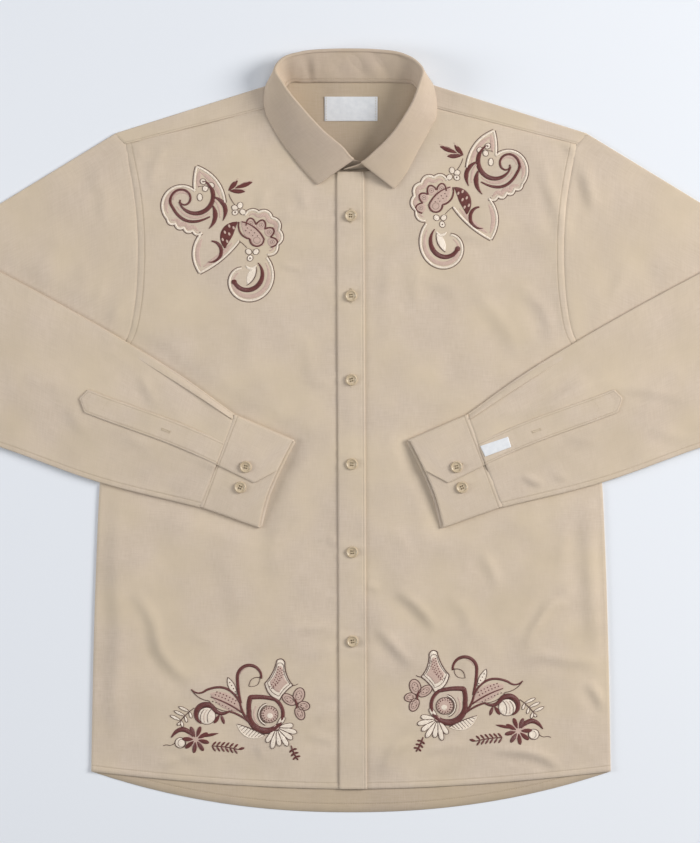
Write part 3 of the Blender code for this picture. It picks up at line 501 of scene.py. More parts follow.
def upperUnder(x, y):
    # underside of the upper layer: a soft rise, folds and creases, pressed flat under the forearms
    x, y = np.asarray(x, dtype=float), np.asarray(y, dtype=float)
    ax = np.abs(x)
    edge = lineDistance(ax, y, silhouette)
    rise = body["loft"] * smooth(edge / body["loftReach"])
    for start, bend, end, height, width in broadFolds:
        away = lineDistance(x, y, (start, bend, end))
        rise = rise + body["foldGain"] * height * np.exp(-((away / width) ** 2)) * smooth(edge / 25)
    stiff = 0.4 + 0.6 * smooth((np.abs(x - 0.7) - 15) / 9)
    fine = body["creaseGain"] * creaseHeight(x, y, bodyCreases)
    fine += 0.55 * turnedNoise(x, y, 72, 120, 42, 5) + 0.3 * turnedNoise(x, y, 118, 70, 22, 8)
    fine += 0.2 * turnedNoise(x, y, 15, 60, 18, 13) * smooth((-60 - y) / 120)
    fine += 0.07 * softNoise(x, y, 12, 21)
    rise = np.maximum(rise + fine * stiff * smooth(edge / 12), -0.3)
    apart = np.where(isInside(ax, y, forearm), 0, lineDistance(ax, y, forearm + forearm[:1]))
    pressed = smooth((apart - body["pressMargin"]) / body["pressReach"])
    top = upper + rise * pressed - body["gap"] * (1 - smooth(lineDistance(ax, y, sideSeam) / 12))
    top -= 0.3 * np.exp(-((lineDistance(ax, y, armhole) / 1.3) ** 2))
    return top


def frontTop(x, y):
    under = upperUnder(x, y)
    away = lineDistance(np.abs(x), np.asarray(y, dtype=float), yokeSeam)
    return under + body["cloth"] - body["seamDip"] * np.exp(-((away / body["seamDipReach"]) ** 2))


armLine = [(x - body["armStitch"], y) for x, y in along(armhole[1:], np.linspace(0, 1, 24))]
armLine[-1] = (armLine[-1][0] + 3, armLine[-1][1] - 4)


def patch(bottom, top, left, right):
    u = np.linspace(0, 1, len(bottom))[:, None, None]
    v = np.linspace(0, 1, len(left))[None, :, None]
    corners = (1 - u) * ((1 - v) * bottom[0] + v * top[0]) + u * ((1 - v) * bottom[-1] + v * top[-1])
    return (1 - v) * bottom[:, None] + v * top[:, None] + (1 - u) * left[None] + u * right[None] - corners


def panelSide(firstHole, seamCells, holeCells):
    seam = along(sideSeam, np.linspace(0, 1, seamCells + 1))
    hole = along(armhole[firstHole:][::-1], np.linspace(0, 1, holeCells + 1))[1:]
    return np.vstack([seam, hole])


def frontGrid(side):
    right = panelSide(1, 160, 92) * (side, 1)
    rise = knotsOf(right)
    underPlacket = (6.5, placketSizes["left"], 8) if side < 0 else (6.8, placketSizes["right"], 5)
    inner = np.linspace(*underPlacket)
    strips = []
    for x in inner:
        low = float(frontHemY(x))
        y = low + rise * (body["frontNeckY"] - low)
        strips.append(np.column_stack([x + placketLean(y), y]))
    strips = np.asarray(strips)
    left = strips[-1]
    neck = along([left[-1] * (side, 1), *neckline], np.linspace(0, 1, 30))[1:] * (side, 1)
    yoke = along(yokeSeam, np.linspace(0, 1, body["frontColumns"]))[1:] * (side, 1)
    top = np.vstack([left[-1:], neck, yoke])
    top[-1] = right[-1]
    hemX = np.linspace(left[0, 0], right[0, 0], len(top))
    bottom = np.column_stack([hemX, frontHemY(hemX)])
    bottom[0], bottom[-1] = left[0], right[0]
    return np.concatenate([strips[:-1], patch(bottom, top, left, right)])


def sheetShell(name, plan, top, finish, seam, low=None):
    outer = np.dstack([plan, top])
    inner = np.dstack([plan, top - body["wall"] if low is None else low])
    return shell(name, outer, inner, plan, finish, values={"seamDist": seam})


def makeFront(name, side):
    plan = frontGrid(side)
    x, y = plan[..., 0], plan[..., 1]
    seam = np.minimum(y - frontHemY(x) - body["hemStitch"], leftOf(np.abs(x), y, armLine[::-1]))
    overHem = (y - frontHemY(x) - body["hemRollAt"]) / body["hemRollReach"]
    return sheetShell(name, plan, frontTop(x, y) + body["hemRoll"] * np.exp(-(overHem ** 2)), cotton, seam)


def makePlacket():
    across = np.linspace(0, 1, 16)
    rise = np.linspace(0, 1, 260)
    x0 = placketSizes["left"] + placketWidth * across
    low = frontHemY(x0)
    y = low[:, None] + rise[None] * (body["frontNeckY"] - low)[:, None]
    x = x0[:, None] + placketLean(y)
    seam = ((1 - across) * placketWidth - placketSizes["stitch"])[:, None] + 0 * y
    top = placketTop(x, y) + placketSizes["lift"]
    return sheetShell("buttonPlacket", np.dstack([x, y]), top, cotton, seam)


def placketTop(x, y):
    # stiffer band: a little padded, with short puckers that run out from each buttonhole
    a = (x - placketLean(y) - placketSizes["left"]) / placketWidth
    top = frontTop(x, y) + body["cloth"] + body["gap"] + placketSizes["pad"] * (1 - (2 * a - 1) ** 2)
    for number, by in enumerate(buttonRow):
        near = np.exp(-(((y - by) / placketSizes["puckerReach"]) ** 2))
        wave = np.sin((y - by) * placketSizes["puckerTurn"] + number + 2.2 * a)
        top = top + placketSizes["pucker"] * near * wave
    return top + placketSizes["waviness"] * turnedNoise(x, y, 90, 46, 13, 31)


def backTop(x, y):
    tail = smooth((frontHemY(x) + 6 - y) / 8)
    return 0.9 + tail * (0.5 + 0.4 * turnedNoise(x, y, 80, 40, 22, 40)) * smooth((y - backHemY(x)) / 6)


def makeBack():
    right = panelSide(3, 90, 36)
    left = right * (-1, 1)
    share = np.linspace(-1, 1, 121)
    hemX = share * right[0, 0]
    bottom = np.column_stack([hemX, backHemY(hemX)])
    bottom[0], bottom[-1] = left[0], right[0]
    top = np.column_stack([share * right[-1, 0], np.full(len(share), right[-1, 1])])
    plan = patch(bottom, top, left, right)
    x, y = plan[..., 0], plan[..., 1]
    seam = y - backHemY(x) - body["tailStitch"]
    # the back takes the darker copy of the cloth: painted shade on the tail under the front hem
    return sheetShell("backPanel", plan, backTop(x, y), cottonPaintedShade, seam, low=0 * x)


def makeYoke():
    # sections from the back seam, over the shoulder's fold, to the front seam
    t = np.linspace(0, 1, 34)
    hole = along(armhole[3::-1], t)
    inner = np.column_stack([np.full(len(t), body["neckHalf"]),
                             body["yokeBackY"] + (body["shoulderNeckY"] - body["yokeBackY"]) * t])
    turns = np.radians(np.linspace(0, 180, 9)[1:])
    w = np.linspace(0, 1, 12)[1:]
    half, seamHalf = [], []
    neckCells = 20
    columns = [(x, None) for x in np.linspace(0, body["neckHalf"], neckCells + 1)[:-1]]
    columns += [(None, k) for k in np.linspace(0, 1, 66)]
    for x, k in columns:
        if k is None:
            back = np.column_stack([np.full(len(t), x),
                                    body["yokeBackY"] + (body["backNeckY"] - body["yokeBackY"]) * t])
            seamPoint = np.array(neckline[-1])
        else:
            back = (1 - k) * inner + k * hole
            seamPoint = (1 - k) * np.array(yokeSeam[0]) + k * np.array(yokeSeam[1])
        ridge = back[-1]
        small = body["turn"] - body["cloth"]
        front = (1 - w)[:, None] * ridge + w[:, None] * seamPoint
        z = upperUnder(front[:, 0], front[:, 1]) + 0.12 * np.exp(-(((1 - w) * 30) ** 2) / 40)
        rows = []
        for big, level, lift in ((body["turn"], 0.0, body["cloth"]), (small, body["cloth"], 0.0)):
            fold = np.column_stack([np.full(len(turns), ridge[0]), ridge[1] + big * np.sin(turns),
                                    body["turn"] - big * np.cos(turns)])
            rows.append(np.vstack([np.column_stack([back, np.full(len(back), level)]), fold,
                                   np.column_stack([front, z + lift])]))
        half.append(rows)
        down = np.linalg.norm(front - seamPoint, axis=1)
        seamHalf.append(np.concatenate([back[:, 1] - body["yokeBackY"] - 6, np.full(len(turns), noSeam),
                                        down - 1.8]))
    half, seamHalf = np.asarray(half), np.asarray(seamHalf)
    whole = np.concatenate([half[:0:-1] * (-1, 1, 1), half])
    seam = np.concatenate([seamHalf[:0:-1], seamHalf])
    keep = np.ones((whole.shape[0] - 1, whole.shape[2] - 1), dtype=bool)
    middle = len(keep) // 2
    keep[middle - neckCells:middle + neckCells, len(t) - 1:] = False
    unfolded = runLengths(half[neckCells + 30, 0])
    way = np.dstack([whole[:, 0, :, 0], np.broadcast_to(unfolded, whole[:, 0, :, 0].shape)])
    made = shell("shoulderYoke", whole[:, 0], whole[:, 1], way, cotton, keep, values={"seamDist": seam})
    made.data.materials.append(cottonPaintedShade)
    # the back neck's inside faces take the darker copy of the cloth: painted shade under the collar
    for face in made.data.polygons:
        if face.normal.z > 0.9 and 0.7 < face.center.z / mm < 1.3:
            face.material_index = 1    # inside of the back neck, which shows in the opening
    return made


# Sleeves: an upper arm, a fold at the elbow and a forearm that lies back over the front
sleeve = {
    "elbowX": 443.0, "elbowTop": 204.0, "elbowLow": 2.4, "lowZ": 3.2, "forearmZ": 5.8, "loft": 3.0,
    "cuffLift": 1.9, "middle": 0.59, "cuffOpening": 0.534, "slitStart": 0.4, "placketWidth": 25.0,
    "placketStart": 0.524, "placketPoint": 0.0243, "felledStrip": 4.2, "across": 46, "forearmLong": 370.0,
    "round": 150.0, "armholeLong": 190.0, "gatherStart": 0.88, "gatherRun": 0.11, "caught": 1.3,
    "placketStitch": 2.0,
}
pleat = {
    "start": 0.52, "end": 0.997, "rows": 110, "columns": 12, "wide": 4.5, "bulge": 3.6, "bulgeAt": 0.74,
    "bulgeReach": 0.13, "rise": 1.1, "crown": 0.35, "sunk": 0.6,
}


def turnedEdge(last, before, bottom, top, inset, angles):
    way = last - before
    way /= np.linalg.norm(way, axis=1)[:, None]
    middle, radius = (bottom + top) / 2, (top - bottom) / 2 - inset
    rounds = []
    for turn in angles:
        plan = last + way * (radius * math.sin(turn))[:, None]
        rounds.append(np.column_stack([plan, middle - radius * math.cos(turn)]))
    return np.stack(rounds, axis=1)


def tube(plan, low, high, thick):
    # outer and inner points round a flattened tube, one row a ring
    angles = np.radians(np.linspace(0, 180, 9)[1:-1])
    layers = []
    for inset in (0, thick):
        layers.append(np.concatenate([
            np.dstack([plan, low + inset]),
            turnedEdge(plan[:, -1], plan[:, -2], low[:, -1], high[:, -1], inset, angles),
            np.dstack([plan[:, ::-1], high[:, ::-1] - inset]),
            turnedEdge(plan[:, 0], plan[:, 1], low[:, 0], high[:, 0], inset, angles[::-1]),
        ], axis=1))
    return layers


def forearmWidth(u):
    return np.linalg.norm(along(forearmTop, u) - along(forearmLow, u), axis=-1)


def forearmPlan(u, across):
    top, low = along(forearmTop, u), along(forearmLow, u)
    width = forearmWidth(u)
    shrunk = 0.5 + (across - 0.5) * (1 - 2 * body["turn"] / width)
    return (1 - shrunk)[..., None] * top + shrunk[..., None] * low, width


def nearCuff(u):
    return smooth((u - sleeve["gatherStart"]) / sleeve["gatherRun"])


def forearmLoft(u, across, x, y):
    # rise of the forearm's upper face: full in the middle, with its own creases
    ease = smooth(u / 0.3) * np.sin(np.pi * np.clip(across, 0, 1))
    fine = body["creaseGain"] * creaseHeight(x, y, armCreases) + 0.5 * turnedNoise(x, y, 35, 90, 26, 51)
    fine += 0.25 * turnedNoise(x, y, -40, 50, 15, 57)
    side = np.minimum(across, 1 - across)
    gathered = sleeve["cuffLift"] * nearCuff(u) * smooth(side / 0.07)
    gathered *= 1 - 0.75 * smooth((across - 0.56) / 0.07)
    return sleeve["loft"] * ease + gathered + fine * smooth(side / 0.1) * smooth(u / 0.1)


def forearmFace(side, u, across):
    plan, _ = forearmPlan(u, across)
    x, y = plan[..., 0] * side, plan[..., 1]
    return np.dstack([plan[..., 0], y, sleeve["forearmZ"] + forearmLoft(u, across, x, y)])


def makeSleeve(name, side):
    count = sleeve["across"]
    a = np.linspace(0, 1, count)
    u = np.linspace(0, 1, 58)[:, None] + 0 * a
    elbow = np.dstack([np.full(u.shape, sleeve["elbowX"]),
                       sleeve["elbowTop"] + (sleeve["elbowLow"] - sleeve["elbowTop"]) * a + 0 * u])
    hole = np.broadcast_to(along(armhole, a), elbow.shape) - (0.5, 0)
    plan = (1 - u)[..., None] * hole + u[..., None] * elbow
    high = upperUnder(plan[..., 0] * side, plan[..., 1]) + body["cloth"]
    high -= 0.3 * np.exp(-((u * sleeve["armholeLong"] / 3.0) ** 2))
    high[:, [0, -1]] = stack
    rings = tube(plan, np.zeros(u.shape), high, body["wall"])
    axisZ = stack + body["gap"]
    flat = tube(elbow[:1], np.zeros((1, count)), np.full((1, count), stack), body["wall"])
    for k, ring in enumerate(flat):
        bends = []
        reach = axisZ - ring[0, :, 2]
        for turn in np.radians(np.linspace(0, 180, 11)[1:]):
            bends.append(np.column_stack([ring[0, :, 0] + reach * math.sin(turn), ring[0, :, 1],
                                          axisZ - reach * math.cos(turn)]))
        rings[k] = np.concatenate([rings[k], np.asarray(bends)])
    u = np.linspace(0, 1, 112)[1:, None] + 0 * a
    across = np.broadcast_to(a, u.shape)
    plan, width = forearmPlan(u, across)
    loft = forearmLoft(u, across, plan[..., 0] * side, plan[..., 1])
    loft[:, [0, -1]] = 0
    for k, ring in enumerate(tube(plan, -loft, np.full(u.shape, stack), body["wall"])):
        rings[k] = np.concatenate([rings[k], ring * (1, 1, -1) + (0, 0, sleeve["forearmZ"])])
    outer, inner = (ring * (side, 1, 1) for ring in rings)
    steps = runLengths(outer.mean(axis=1))
    halfRound, turnCells = sleeve["round"], outer.shape[1] // 2 - count
    wide = np.concatenate([a * halfRound, np.full(turnCells, halfRound + 2), a[::-1] * halfRound,
                           np.full(turnCells, -2.0)])
    shape = outer.shape[:2]
    way = np.dstack([np.broadcast_to(steps[:, None], shape), np.broadcast_to(wide, shape)])
    seam = np.full(shape, noSeam)
    seam[-len(u):, :count] = (1 - across) * width - sleeve["felledStrip"]
    return shell(name, outer, inner, way, cotton, wrap=True, values={"seamDist": seam})


def placketAcross(u, a, width):
    opening = sleeve["middle"] + (sleeve["cuffOpening"] - sleeve["middle"]) * smooth(
        (u - sleeve["slitStart"]) / (1 - sleeve["slitStart"]))
    return opening - (1 - a) * sleeve["placketWidth"] / width


def sleevePlacketGrid(side, rows=84, columns=14):
    a = np.broadcast_to(np.linspace(0, 1, columns), (rows, columns))
    start = sleeve["placketStart"] - sleeve["placketPoint"] * (1 - np.abs(2 * a - 1))
    u = start + (1 - start) * np.linspace(0, 1, rows)[:, None]
    width = forearmWidth(u)
    face = forearmFace(side, u, placketAcross(u, a, width))
    caught = sleeve["caught"] * nearCuff(u) * (1 - 0.5 * smooth((a - 0.8) / 0.2))
    face[..., 2] += body["gap"] + body["cloth"] + 0.25 * (1 - (2 * a - 1) ** 2) - caught
    return face * (side, 1, 1), a, u


def makeSleevePlacket(name, side):
    outer, a, u = sleevePlacketGrid(side)
    inner = outer - (0, 0, body["wall"])
    tower = sleeve["placketPoint"] * (1 - np.abs(2 * a - 1))
    length = sleeve["forearmLong"] * (u - sleeve["placketStart"] + tower)
    edges = np.minimum(a, 1 - a) * sleeve["placketWidth"]
    seam = np.minimum(edges, length) - sleeve["placketStitch"]
    way = np.dstack([u * sleeve["forearmLong"], a * sleeve["placketWidth"]])
    return shell(name, outer, inner, way, cotton, values={"seamDist": seam})


def makePleat(name, side):
    # pleat folded along the forearm's upper edge, deepest where it is caught in the cuff
    rows, columns = pleat["rows"], pleat["columns"]
    u = np.linspace(pleat["start"], pleat["end"], rows)[:, None] + np.zeros(columns)
    t = np.linspace(0, 1, columns)[None] + np.zeros((rows, 1))
    grown = smooth((u - 0.56) / 0.3)
    bulge = pleat["bulge"] * np.exp(-(((u - pleat["bulgeAt"]) / pleat["bulgeReach"]) ** 2))
    wide = pleat["wide"] + bulge + 0.5 * np.sin(u * 23)
    width = forearmWidth(u)
    face = forearmFace(side, u, 0.006 + t * wide / width)
    face[..., 2] += pleat["rise"] * grown * (0.3 + t) + pleat["crown"] * grown * np.sin(np.pi * t)
    face[..., 2] -= pleat["sunk"] * (1 - grown)
    face *= (side, 1, 1)
    inner = face - (0, 0, body["wall"])
    way = np.dstack([u * sleeve["forearmLong"], t * wide])
    return shell(name, face, inner, way, cotton, values={"seamDist": np.full(u.shape, noSeam)})


# Cuffs: overlap, top edge, back layer, lower edge and underlap, through sections toward the wrist
cuff = {
    "cloth": 1.2, "gap": 0.3, "loft": 3.6, "width": 105.0, "edge": 0.02, "underlap": 0.33, "backReach": 0.05,
    "depths": (0.0, 0.25, 0.5, 0.725, 0.87, 1.0), "openings": (0.534, 0.545, 0.557, 0.567, 0.46, 0.36),
    "stitch": 3.8, "rows": 30, "deep": 68.0,
}
cuffBackZ = cuff["cloth"] / 2
cuffUnderZ = cuff["cloth"] * 1.5 + 2 * cuff["gap"]
cuffOverZ = cuff["cloth"] * 2.5 + 3 * cuff["gap"]


def cuffLoft(depth, across):
    return cuff["loft"] * (0.7 + 0.3 * depth) * np.sin(np.pi * across)


def cuffPath(depth, opening):
    path = [(v, cuffOverZ + cuffLoft(depth, v), 0) for v in np.linspace(opening, cuff["edge"], 30)]
    turns = np.radians(np.linspace(0, 180, 8)[1:-1])
    big = (cuffOverZ - cuffBackZ) / 2
    path += [(cuff["edge"] - big * math.sin(t) / cuff["width"], cuffBackZ + big * (1 + math.cos(t)), 0.5)
             for t in turns]
    path += [(v, cuffBackZ, 1) for v in np.linspace(cuff["edge"], 1 - cuff["edge"], 30)]
    big = (cuffUnderZ - cuffBackZ) / 2
    path += [(1 - cuff["edge"] + big * math.sin(t) / cuff["width"], cuffBackZ + big * (1 + math.cos(t)), 0.5)
             for t in turns[::-1]]
    path += [(v, cuffUnderZ + cuffLoft(depth, v), 0)
             for v in np.linspace(1 - cuff["edge"], cuff["underlap"], 34)]
    return np.asarray(path)


def cuffPlace(depth, across, reach):
    seam = np.array((forearmTop[-1], forearmLow[-1]))
    start = seam[0] + (seam[1] - seam[0]) * np.asarray(across)[..., None]
    held = np.clip(across, 0, 1)
    end = along(cuffEnd, held) + (seam[1] - seam[0]) * (np.asarray(across) - held)[..., None]
    length = np.linalg.norm(end - start, axis=-1)
    share = depth * (1 + cuff["backReach"] * np.asarray(reach)) - 0.4 * (1 - depth) / length
    return start + (end - start) * share[..., None]


def makeCuff(name, side):
    depths = np.unique(np.concatenate([np.linspace(0, 1, cuff["rows"]), cuff["depths"]]))
    faces, ways, seams = ([], []), [], []
    for depth in depths:
        path = cuffPath(depth, np.interp(depth, cuff["depths"], cuff["openings"]))
        section = np.column_stack([path[:, 0] * cuff["width"], path[:, 1]])
        run = np.gradient(section, axis=0)
        run /= np.linalg.norm(run, axis=1)[:, None]
        normal = np.column_stack([-run[:, 1], run[:, 0]])
        for face, half in zip(faces, (-cuff["cloth"] / 2, cuff["cloth"] / 2)):
            moved = section + normal * half
            plan = cuffPlace(depth, moved[:, 0] / cuff["width"], path[:, 2])
            z = sleeve["lowZ"] + moved[:, 1]
            bulge = 0.25 * turnedNoise(plan[:, 0], plan[:, 1], 30, 34, 20, 61)
            z = z + np.where(path[:, 2] == 0, bulge * math.sin(math.pi * min(1, depth + 0.1)), 0)
            face.append(np.column_stack([plan[:, 0] * side, plan[:, 1], z]))
        steps = runLengths(section)
        ways.append(np.column_stack([np.full(len(steps), depth * cuff["deep"]), steps]))
        seams.append(np.full(len(steps), depth * cuff["deep"] - cuff["stitch"]))
    outer, inner, way = np.asarray(faces[0]), np.asarray(faces[1]), np.asarray(ways)
    return shell(name, outer, inner, way, cotton, values={"seamDist": np.asarray(seams)}), outer, way


# Collar: neck seam, fold line and leaf edge at stations round the neck, from the end that lies under
collarStations = (
    ((16, 284.0, 1.95), (16, 288.5, 5.5), (16, 288.5, 5.5)),
    ((9, 284.0, 1.95), (9.2, 290.2, 8.9), (9.2, 290.2, 8.9)),
    ((2, 283.5, 1.95), (2.5, 291.9, 12.2), (-36.1, 264.9, 6.2)),
    ((-14, 282.6, 1.95), (-10, 304.5, 17.5), (-47, 276, 5.8)),
    ((-27, 284.0, 2.0), (-18, 311, 20.0), (-54, 284, 5.9)),
    ((-38, 288.0, 2.1), (-26.5, 317.8, 22.0), (-61, 293, 6.0)),
    ((-55.5, 301.5, 2.2), (-41, 332.2, 24.5), (-74, 310, 5.8)),
    ((-68, 320, 2.3), (-54, 346.8, 26.0), (-84, 326, 5.6)),
    ((-74.5, 344, 2.4), (-66, 361, 27.0), (-92, 343, 5.2)),
    ((-75, 354, 2.4), (-74, 373, 27.0), (-94, 357, 5.0)),
    ((-74.5, 364, 2.2), (-81.5, 388, 24.0), (-88, 378.5, 3.9)),
    ((-68, 373.6, 2.0), (-75.5, 397.6, 20.0), (-72.5, 387, 1.2)),
    ((-50, 375.4, 1.95), (-53.5, 406.2, 16.0), (-52, 382, 0.95)),
    ((-25, 375.8, 1.95), (-26.5, 409.0, 14.5), (-26, 379.5, 0.95)),
    ((0, 375.8, 1.95), (1, 409.5, 14.0), (0, 379, 0.95)),
    ((25, 375.8, 1.95), (28.7, 408.6, 14.5), (27, 379.5, 0.95)),
    ((50, 375.4, 1.95), (55.8, 404.2, 16.5), (52, 382, 0.95)),
    ((67, 373.6, 2.0), (69.6, 396.6, 20.0), (67.5, 386, 1.2)),
    ((74, 364, 2.2), (77, 386.9, 24.0), (84.5, 378.5, 3.9)),
    ((75, 354, 2.4), (73.5, 371, 27.0), (92, 358, 5.0)),
    ((74.3, 343, 2.4), (68.5, 356, 27.0), (92, 341, 5.2)),
    ((68, 320, 2.3), (57.5, 336, 25.5), (84.5, 324, 5.6)),
    ((53, 300.0, 2.2), (43.6, 316.6, 23.0), (72, 301, 6.0)),
    ((35, 287.0, 2.2), (27.4, 300.6, 20.0), (58.5, 276, 6.6)),
    ((17, 282.5, 2.4), (11.4, 287.6, 16.4), (46.4, 260.5, 6.8)),
    ((4, 281.8, 2.9), (3.4, 284.6, 13.2), (3.4, 284.6, 13.0)),
    ((-10, 281.2, 3.0), (-7.1, 281.5, 10.4), (-7.1, 281.5, 10.4)),
)
collarRows = np.asarray([(*fold, *seam, *edge) for seam, fold, edge in collarStations], dtype=float)
collarSizes = {
    "cloth": 1.2, "leafCloth": 1.0, "roll": 1.6, "away": 1.1, "drop": 0.5, "ends": 2, "stitch": 3.6,
    "columns": 250, "leafColumns": 230,
}

# Soft wrinkles of the stand: place along it, lean, depth and half width
collarCreases = (
    (150, 6, 0.7, 5), (166, -8, -0.8, 6), (181, 3, 0.9, 4), (189, -2, -0.7, 4), (214, 9, 0.6, 7),
    (236, 22, 0.9, 5), (250, 24, -0.8, 6), (262, 26, 0.9, 4), (275, 10, -0.6, 5), (120, -10, 0.5, 8),
)


def collarSections(shares):
    sections = along(collarRows, shares)
    fold, seam, edge = sections[:, 0:3], sections[:, 3:6], sections[:, 6:9]
    down = seam - fold
    down /= np.linalg.norm(down, axis=1)[:, None]
    outward = np.cross(np.gradient(fold, axis=0), down)
    outward /= np.linalg.norm(outward, axis=1)[:, None]
    return fold, seam, edge, down, outward


def wayOf(grid):
    rows = np.linalg.norm(np.diff(grid, axis=0), axis=2).mean(axis=1)
    columns = np.linalg.norm(np.diff(grid, axis=1), axis=2)
    down = np.concatenate([np.zeros((len(grid), 1)), np.cumsum(columns, axis=1)], axis=1)
    return np.dstack([np.broadcast_to(np.concatenate([[0.0], np.cumsum(rows)])[:, None], down.shape), down])


def makeStand():
    fold, seam, _, down, outward = collarSections(np.linspace(0, 1, collarSizes["columns"]))
    top = fold + down * collarSizes["drop"]
    share = np.linspace(0, 1, 12)[None, :, None]
    middle = top[:, None] * (1 - share) + seam[:, None] * share
    half = outward[:, None] * collarSizes["cloth"] / 2
    way = wayOf(middle)
    height = way[..., 1].max(axis=1)[:, None]
    fall = way[..., 1] / height
    creased = np.zeros(fall.shape)
    for at, lean, deep, wide in collarCreases:
        off = (way[..., 0] - at - lean * (fall - 0.5)) / wide
        creased += deep * np.exp(-(off ** 2)) * np.sin(np.pi * np.clip(fall, 0, 1)) ** 0.7
    creased += 0.25 * softNoise(way[..., 0], way[..., 1], 17, 77) * np.sin(np.pi * np.clip(fall, 0, 1))
    middle = middle + outward[:, None] * creased[..., None]
    line = height - way[..., 1] - collarSizes["stitch"]
    # the stand takes the darker collar copy of the cloth: painted shade
    return shell("collarStand", middle + half, middle - half, way, collarShadedCotton, values={"seamDist": line})


def leafGrids():
    knots = knotsOf(collarRows)
    ends = collarSizes["ends"]
    columns = collarSizes["leafColumns"]
    fold, _, _, down, outward = collarSections(np.linspace(knots[ends], knots[-1 - ends], columns))
    edge = along(collarRows[ends:-ends], np.linspace(0, 1, columns))[:, 6:9]
    away = collarSizes["away"]
    path = [fold + down * s - outward * away for s in (1.6, 0.8)]
    for angle in np.radians(np.linspace(0, 180, 10)):
        path.append(fold - outward * away * math.cos(angle) - down * away * 0.85 * math.sin(angle))
    start = path[-1]
    bend = start + (edge - start) * 0.4
    bend[:, 2] += collarSizes["roll"] + 0.1 * (start[:, 2] - edge[:, 2])
    for t in np.linspace(0, 1, 22)[1:]:
        path.append((1 - t) ** 2 * start + 2 * t * (1 - t) * bend + t * t * edge)
    middle = np.stack(path, axis=1)
    way = wayOf(middle)
    ripple = 0.2 * softNoise(way[..., 0], way[..., 1], 30, 71) * smooth((way[..., 1] - 12) / 15)
    middle[..., 2] += ripple
    normal = np.cross(np.gradient(middle, axis=0), np.gradient(middle, axis=1))
    normal /= np.linalg.norm(normal, axis=2)[..., None]
    half = normal * collarSizes["leafCloth"] / 2
    return middle - half, middle + half, way


def makeLeaf():
    outer, inner, way = leafGrids()
    plain = np.full(way.shape[:2], noSeam)
    # the leaf takes the darker collar copy of the cloth: painted shade
    return shell("collarLeaf", outer, inner, way, collarShadedCotton, values={"seamDist": plain})


back = makeBack()
yoke = makeYoke()
frontRight = makeFront("frontWearersRight", -1)
frontLeft = makeFront("frontWearersLeft", 1)
placket = makePlacket()
print("body panels made")
sleeves, cuffs, sleevePlackets, pleats = {}, {}, {}, {}
for word, side in (("right", -1), ("left", 1)):
    title = word.capitalize()
    sleeves[word] = makeSleeve("sleeve" + title, side)
    sleevePlackets[word] = makeSleevePlacket("sleevePlacket" + title, side)
    cuffs[word] = makeCuff("cuff" + title, side)
    pleats[word] = makePleat("sleevePleat" + title, side)
print("sleeves and cuffs made")
stand = makeStand()
leaf = makeLeaf()
print("collar made")


# Thread work: satin ribbons and filled shapes, gathered with heights over the cloth and laid on it at once
sunkEdge, sunkMiddle = -0.12, -0.3    # how deep a thread's edge and underside sit in the cloth


def newWork():
    return {"points": [], "faces": [], "ways": [], "slots": [], "count": 0}


def addPart(work, points, faces, ways, slot):
    work["points"].append(points)
    work["ways"].append(ways)
    work["faces"] += [[v + work["count"] for v in face] for face in faces]
    work["slots"] += [slot] * len(faces)
    work["count"] += len(points)


def evenSteps(line, pitch, fewest):
    at = runLengths(line)
    where = np.linspace(0, at[-1], max(fewest, int(round(at[-1] / pitch))) + 1)
    return np.column_stack([np.interp(where, at, line[:, k]) for k in range(2)])


def evenly(line, pitch):
    # smooth curve through given points, at even steps
    line = np.asarray(line, dtype=float)
    if len(line) > 2:
        line = along(line, np.linspace(0, 1, 12 * len(line)))
    return evenSteps(line, pitch, 2)


def closedLoop(points, pitch):
    # periodic smooth outline through given points, at even steps, without its first point repeated
    p = np.asarray(points, dtype=float)
    before, after, next2 = np.roll(p, 1, axis=0), np.roll(p, -1, axis=0), np.roll(p, -2, axis=0)
    t = np.linspace(0, 1, 9)[:-1, None, None]
    curve = 0.5 * (2 * p + (after - before) * t + (2 * before - 5 * p + 4 * after - next2) * t**2
                   + (3 * p - before - 3 * after + next2) * t**3)
    line = curve.transpose(1, 0, 2).reshape(-1, 2)
    return evenSteps(np.vstack([line, line[:1]]), pitch, 8)[:-1]


def sideways(line, closed=False):
    run = np.roll(line, -1, axis=0) - np.roll(line, 1, axis=0) if closed else np.gradient(line, axis=0)
    run /= np.linalg.norm(run, axis=1)[:, None] + 1e-9
    return np.column_stack([-run[:, 1], run[:, 0]])


def addRibbon(work, line, widths, slot, lift=0.3, dome=0.45, pitch=1.3, closed=False):
    # domed satin ribbon along a line; widths are spread evenly along it
    cells = 4
    line = closedLoop(line, pitch) if closed else evenly(line, pitch)
    n = len(line)
    share = np.linspace(0, 1, n)
    wide = np.interp(share, np.linspace(0, 1, len(widths)), widths) / 2
    out = sideways(line, closed)
    across = np.linspace(-1, 1, cells + 1)
    run = runLengths(line)
    ring = cells + 2
    points = np.zeros((n, ring, 3))
    ways = np.zeros((n, ring, 2))
    for k, a in enumerate(across):
        points[:, k, :2] = line + out * (wide * a)[:, None]
        domed = lift + dome * math.sqrt(max(0.0, 1 - a * a)) * np.minimum(1, wide / 0.8)
        points[:, k, 2] = domed if abs(a) < 1 else sunkEdge
        ways[:, k] = np.column_stack([run, wide * a])
    points[:, -1, :2] = line
    points[:, -1, 2] = sunkMiddle
    ways[:, -1] = ways[:, cells // 2]
    faces = []
    for i in range(n if closed else n - 1):
        a, b = i * ring, ((i + 1) % n) * ring
        for k in range(ring):
            m = (k + 1) % ring
            faces.append([a + k, b + k, b + m, a + m])
    if not closed:
        faces.append(list(range(ring)))
        faces.append([(n - 1) * ring + k for k in range(ring)][::-1])
    addPart(work, points.reshape(-1, 3), faces, ways.reshape(-1, 2), slot)


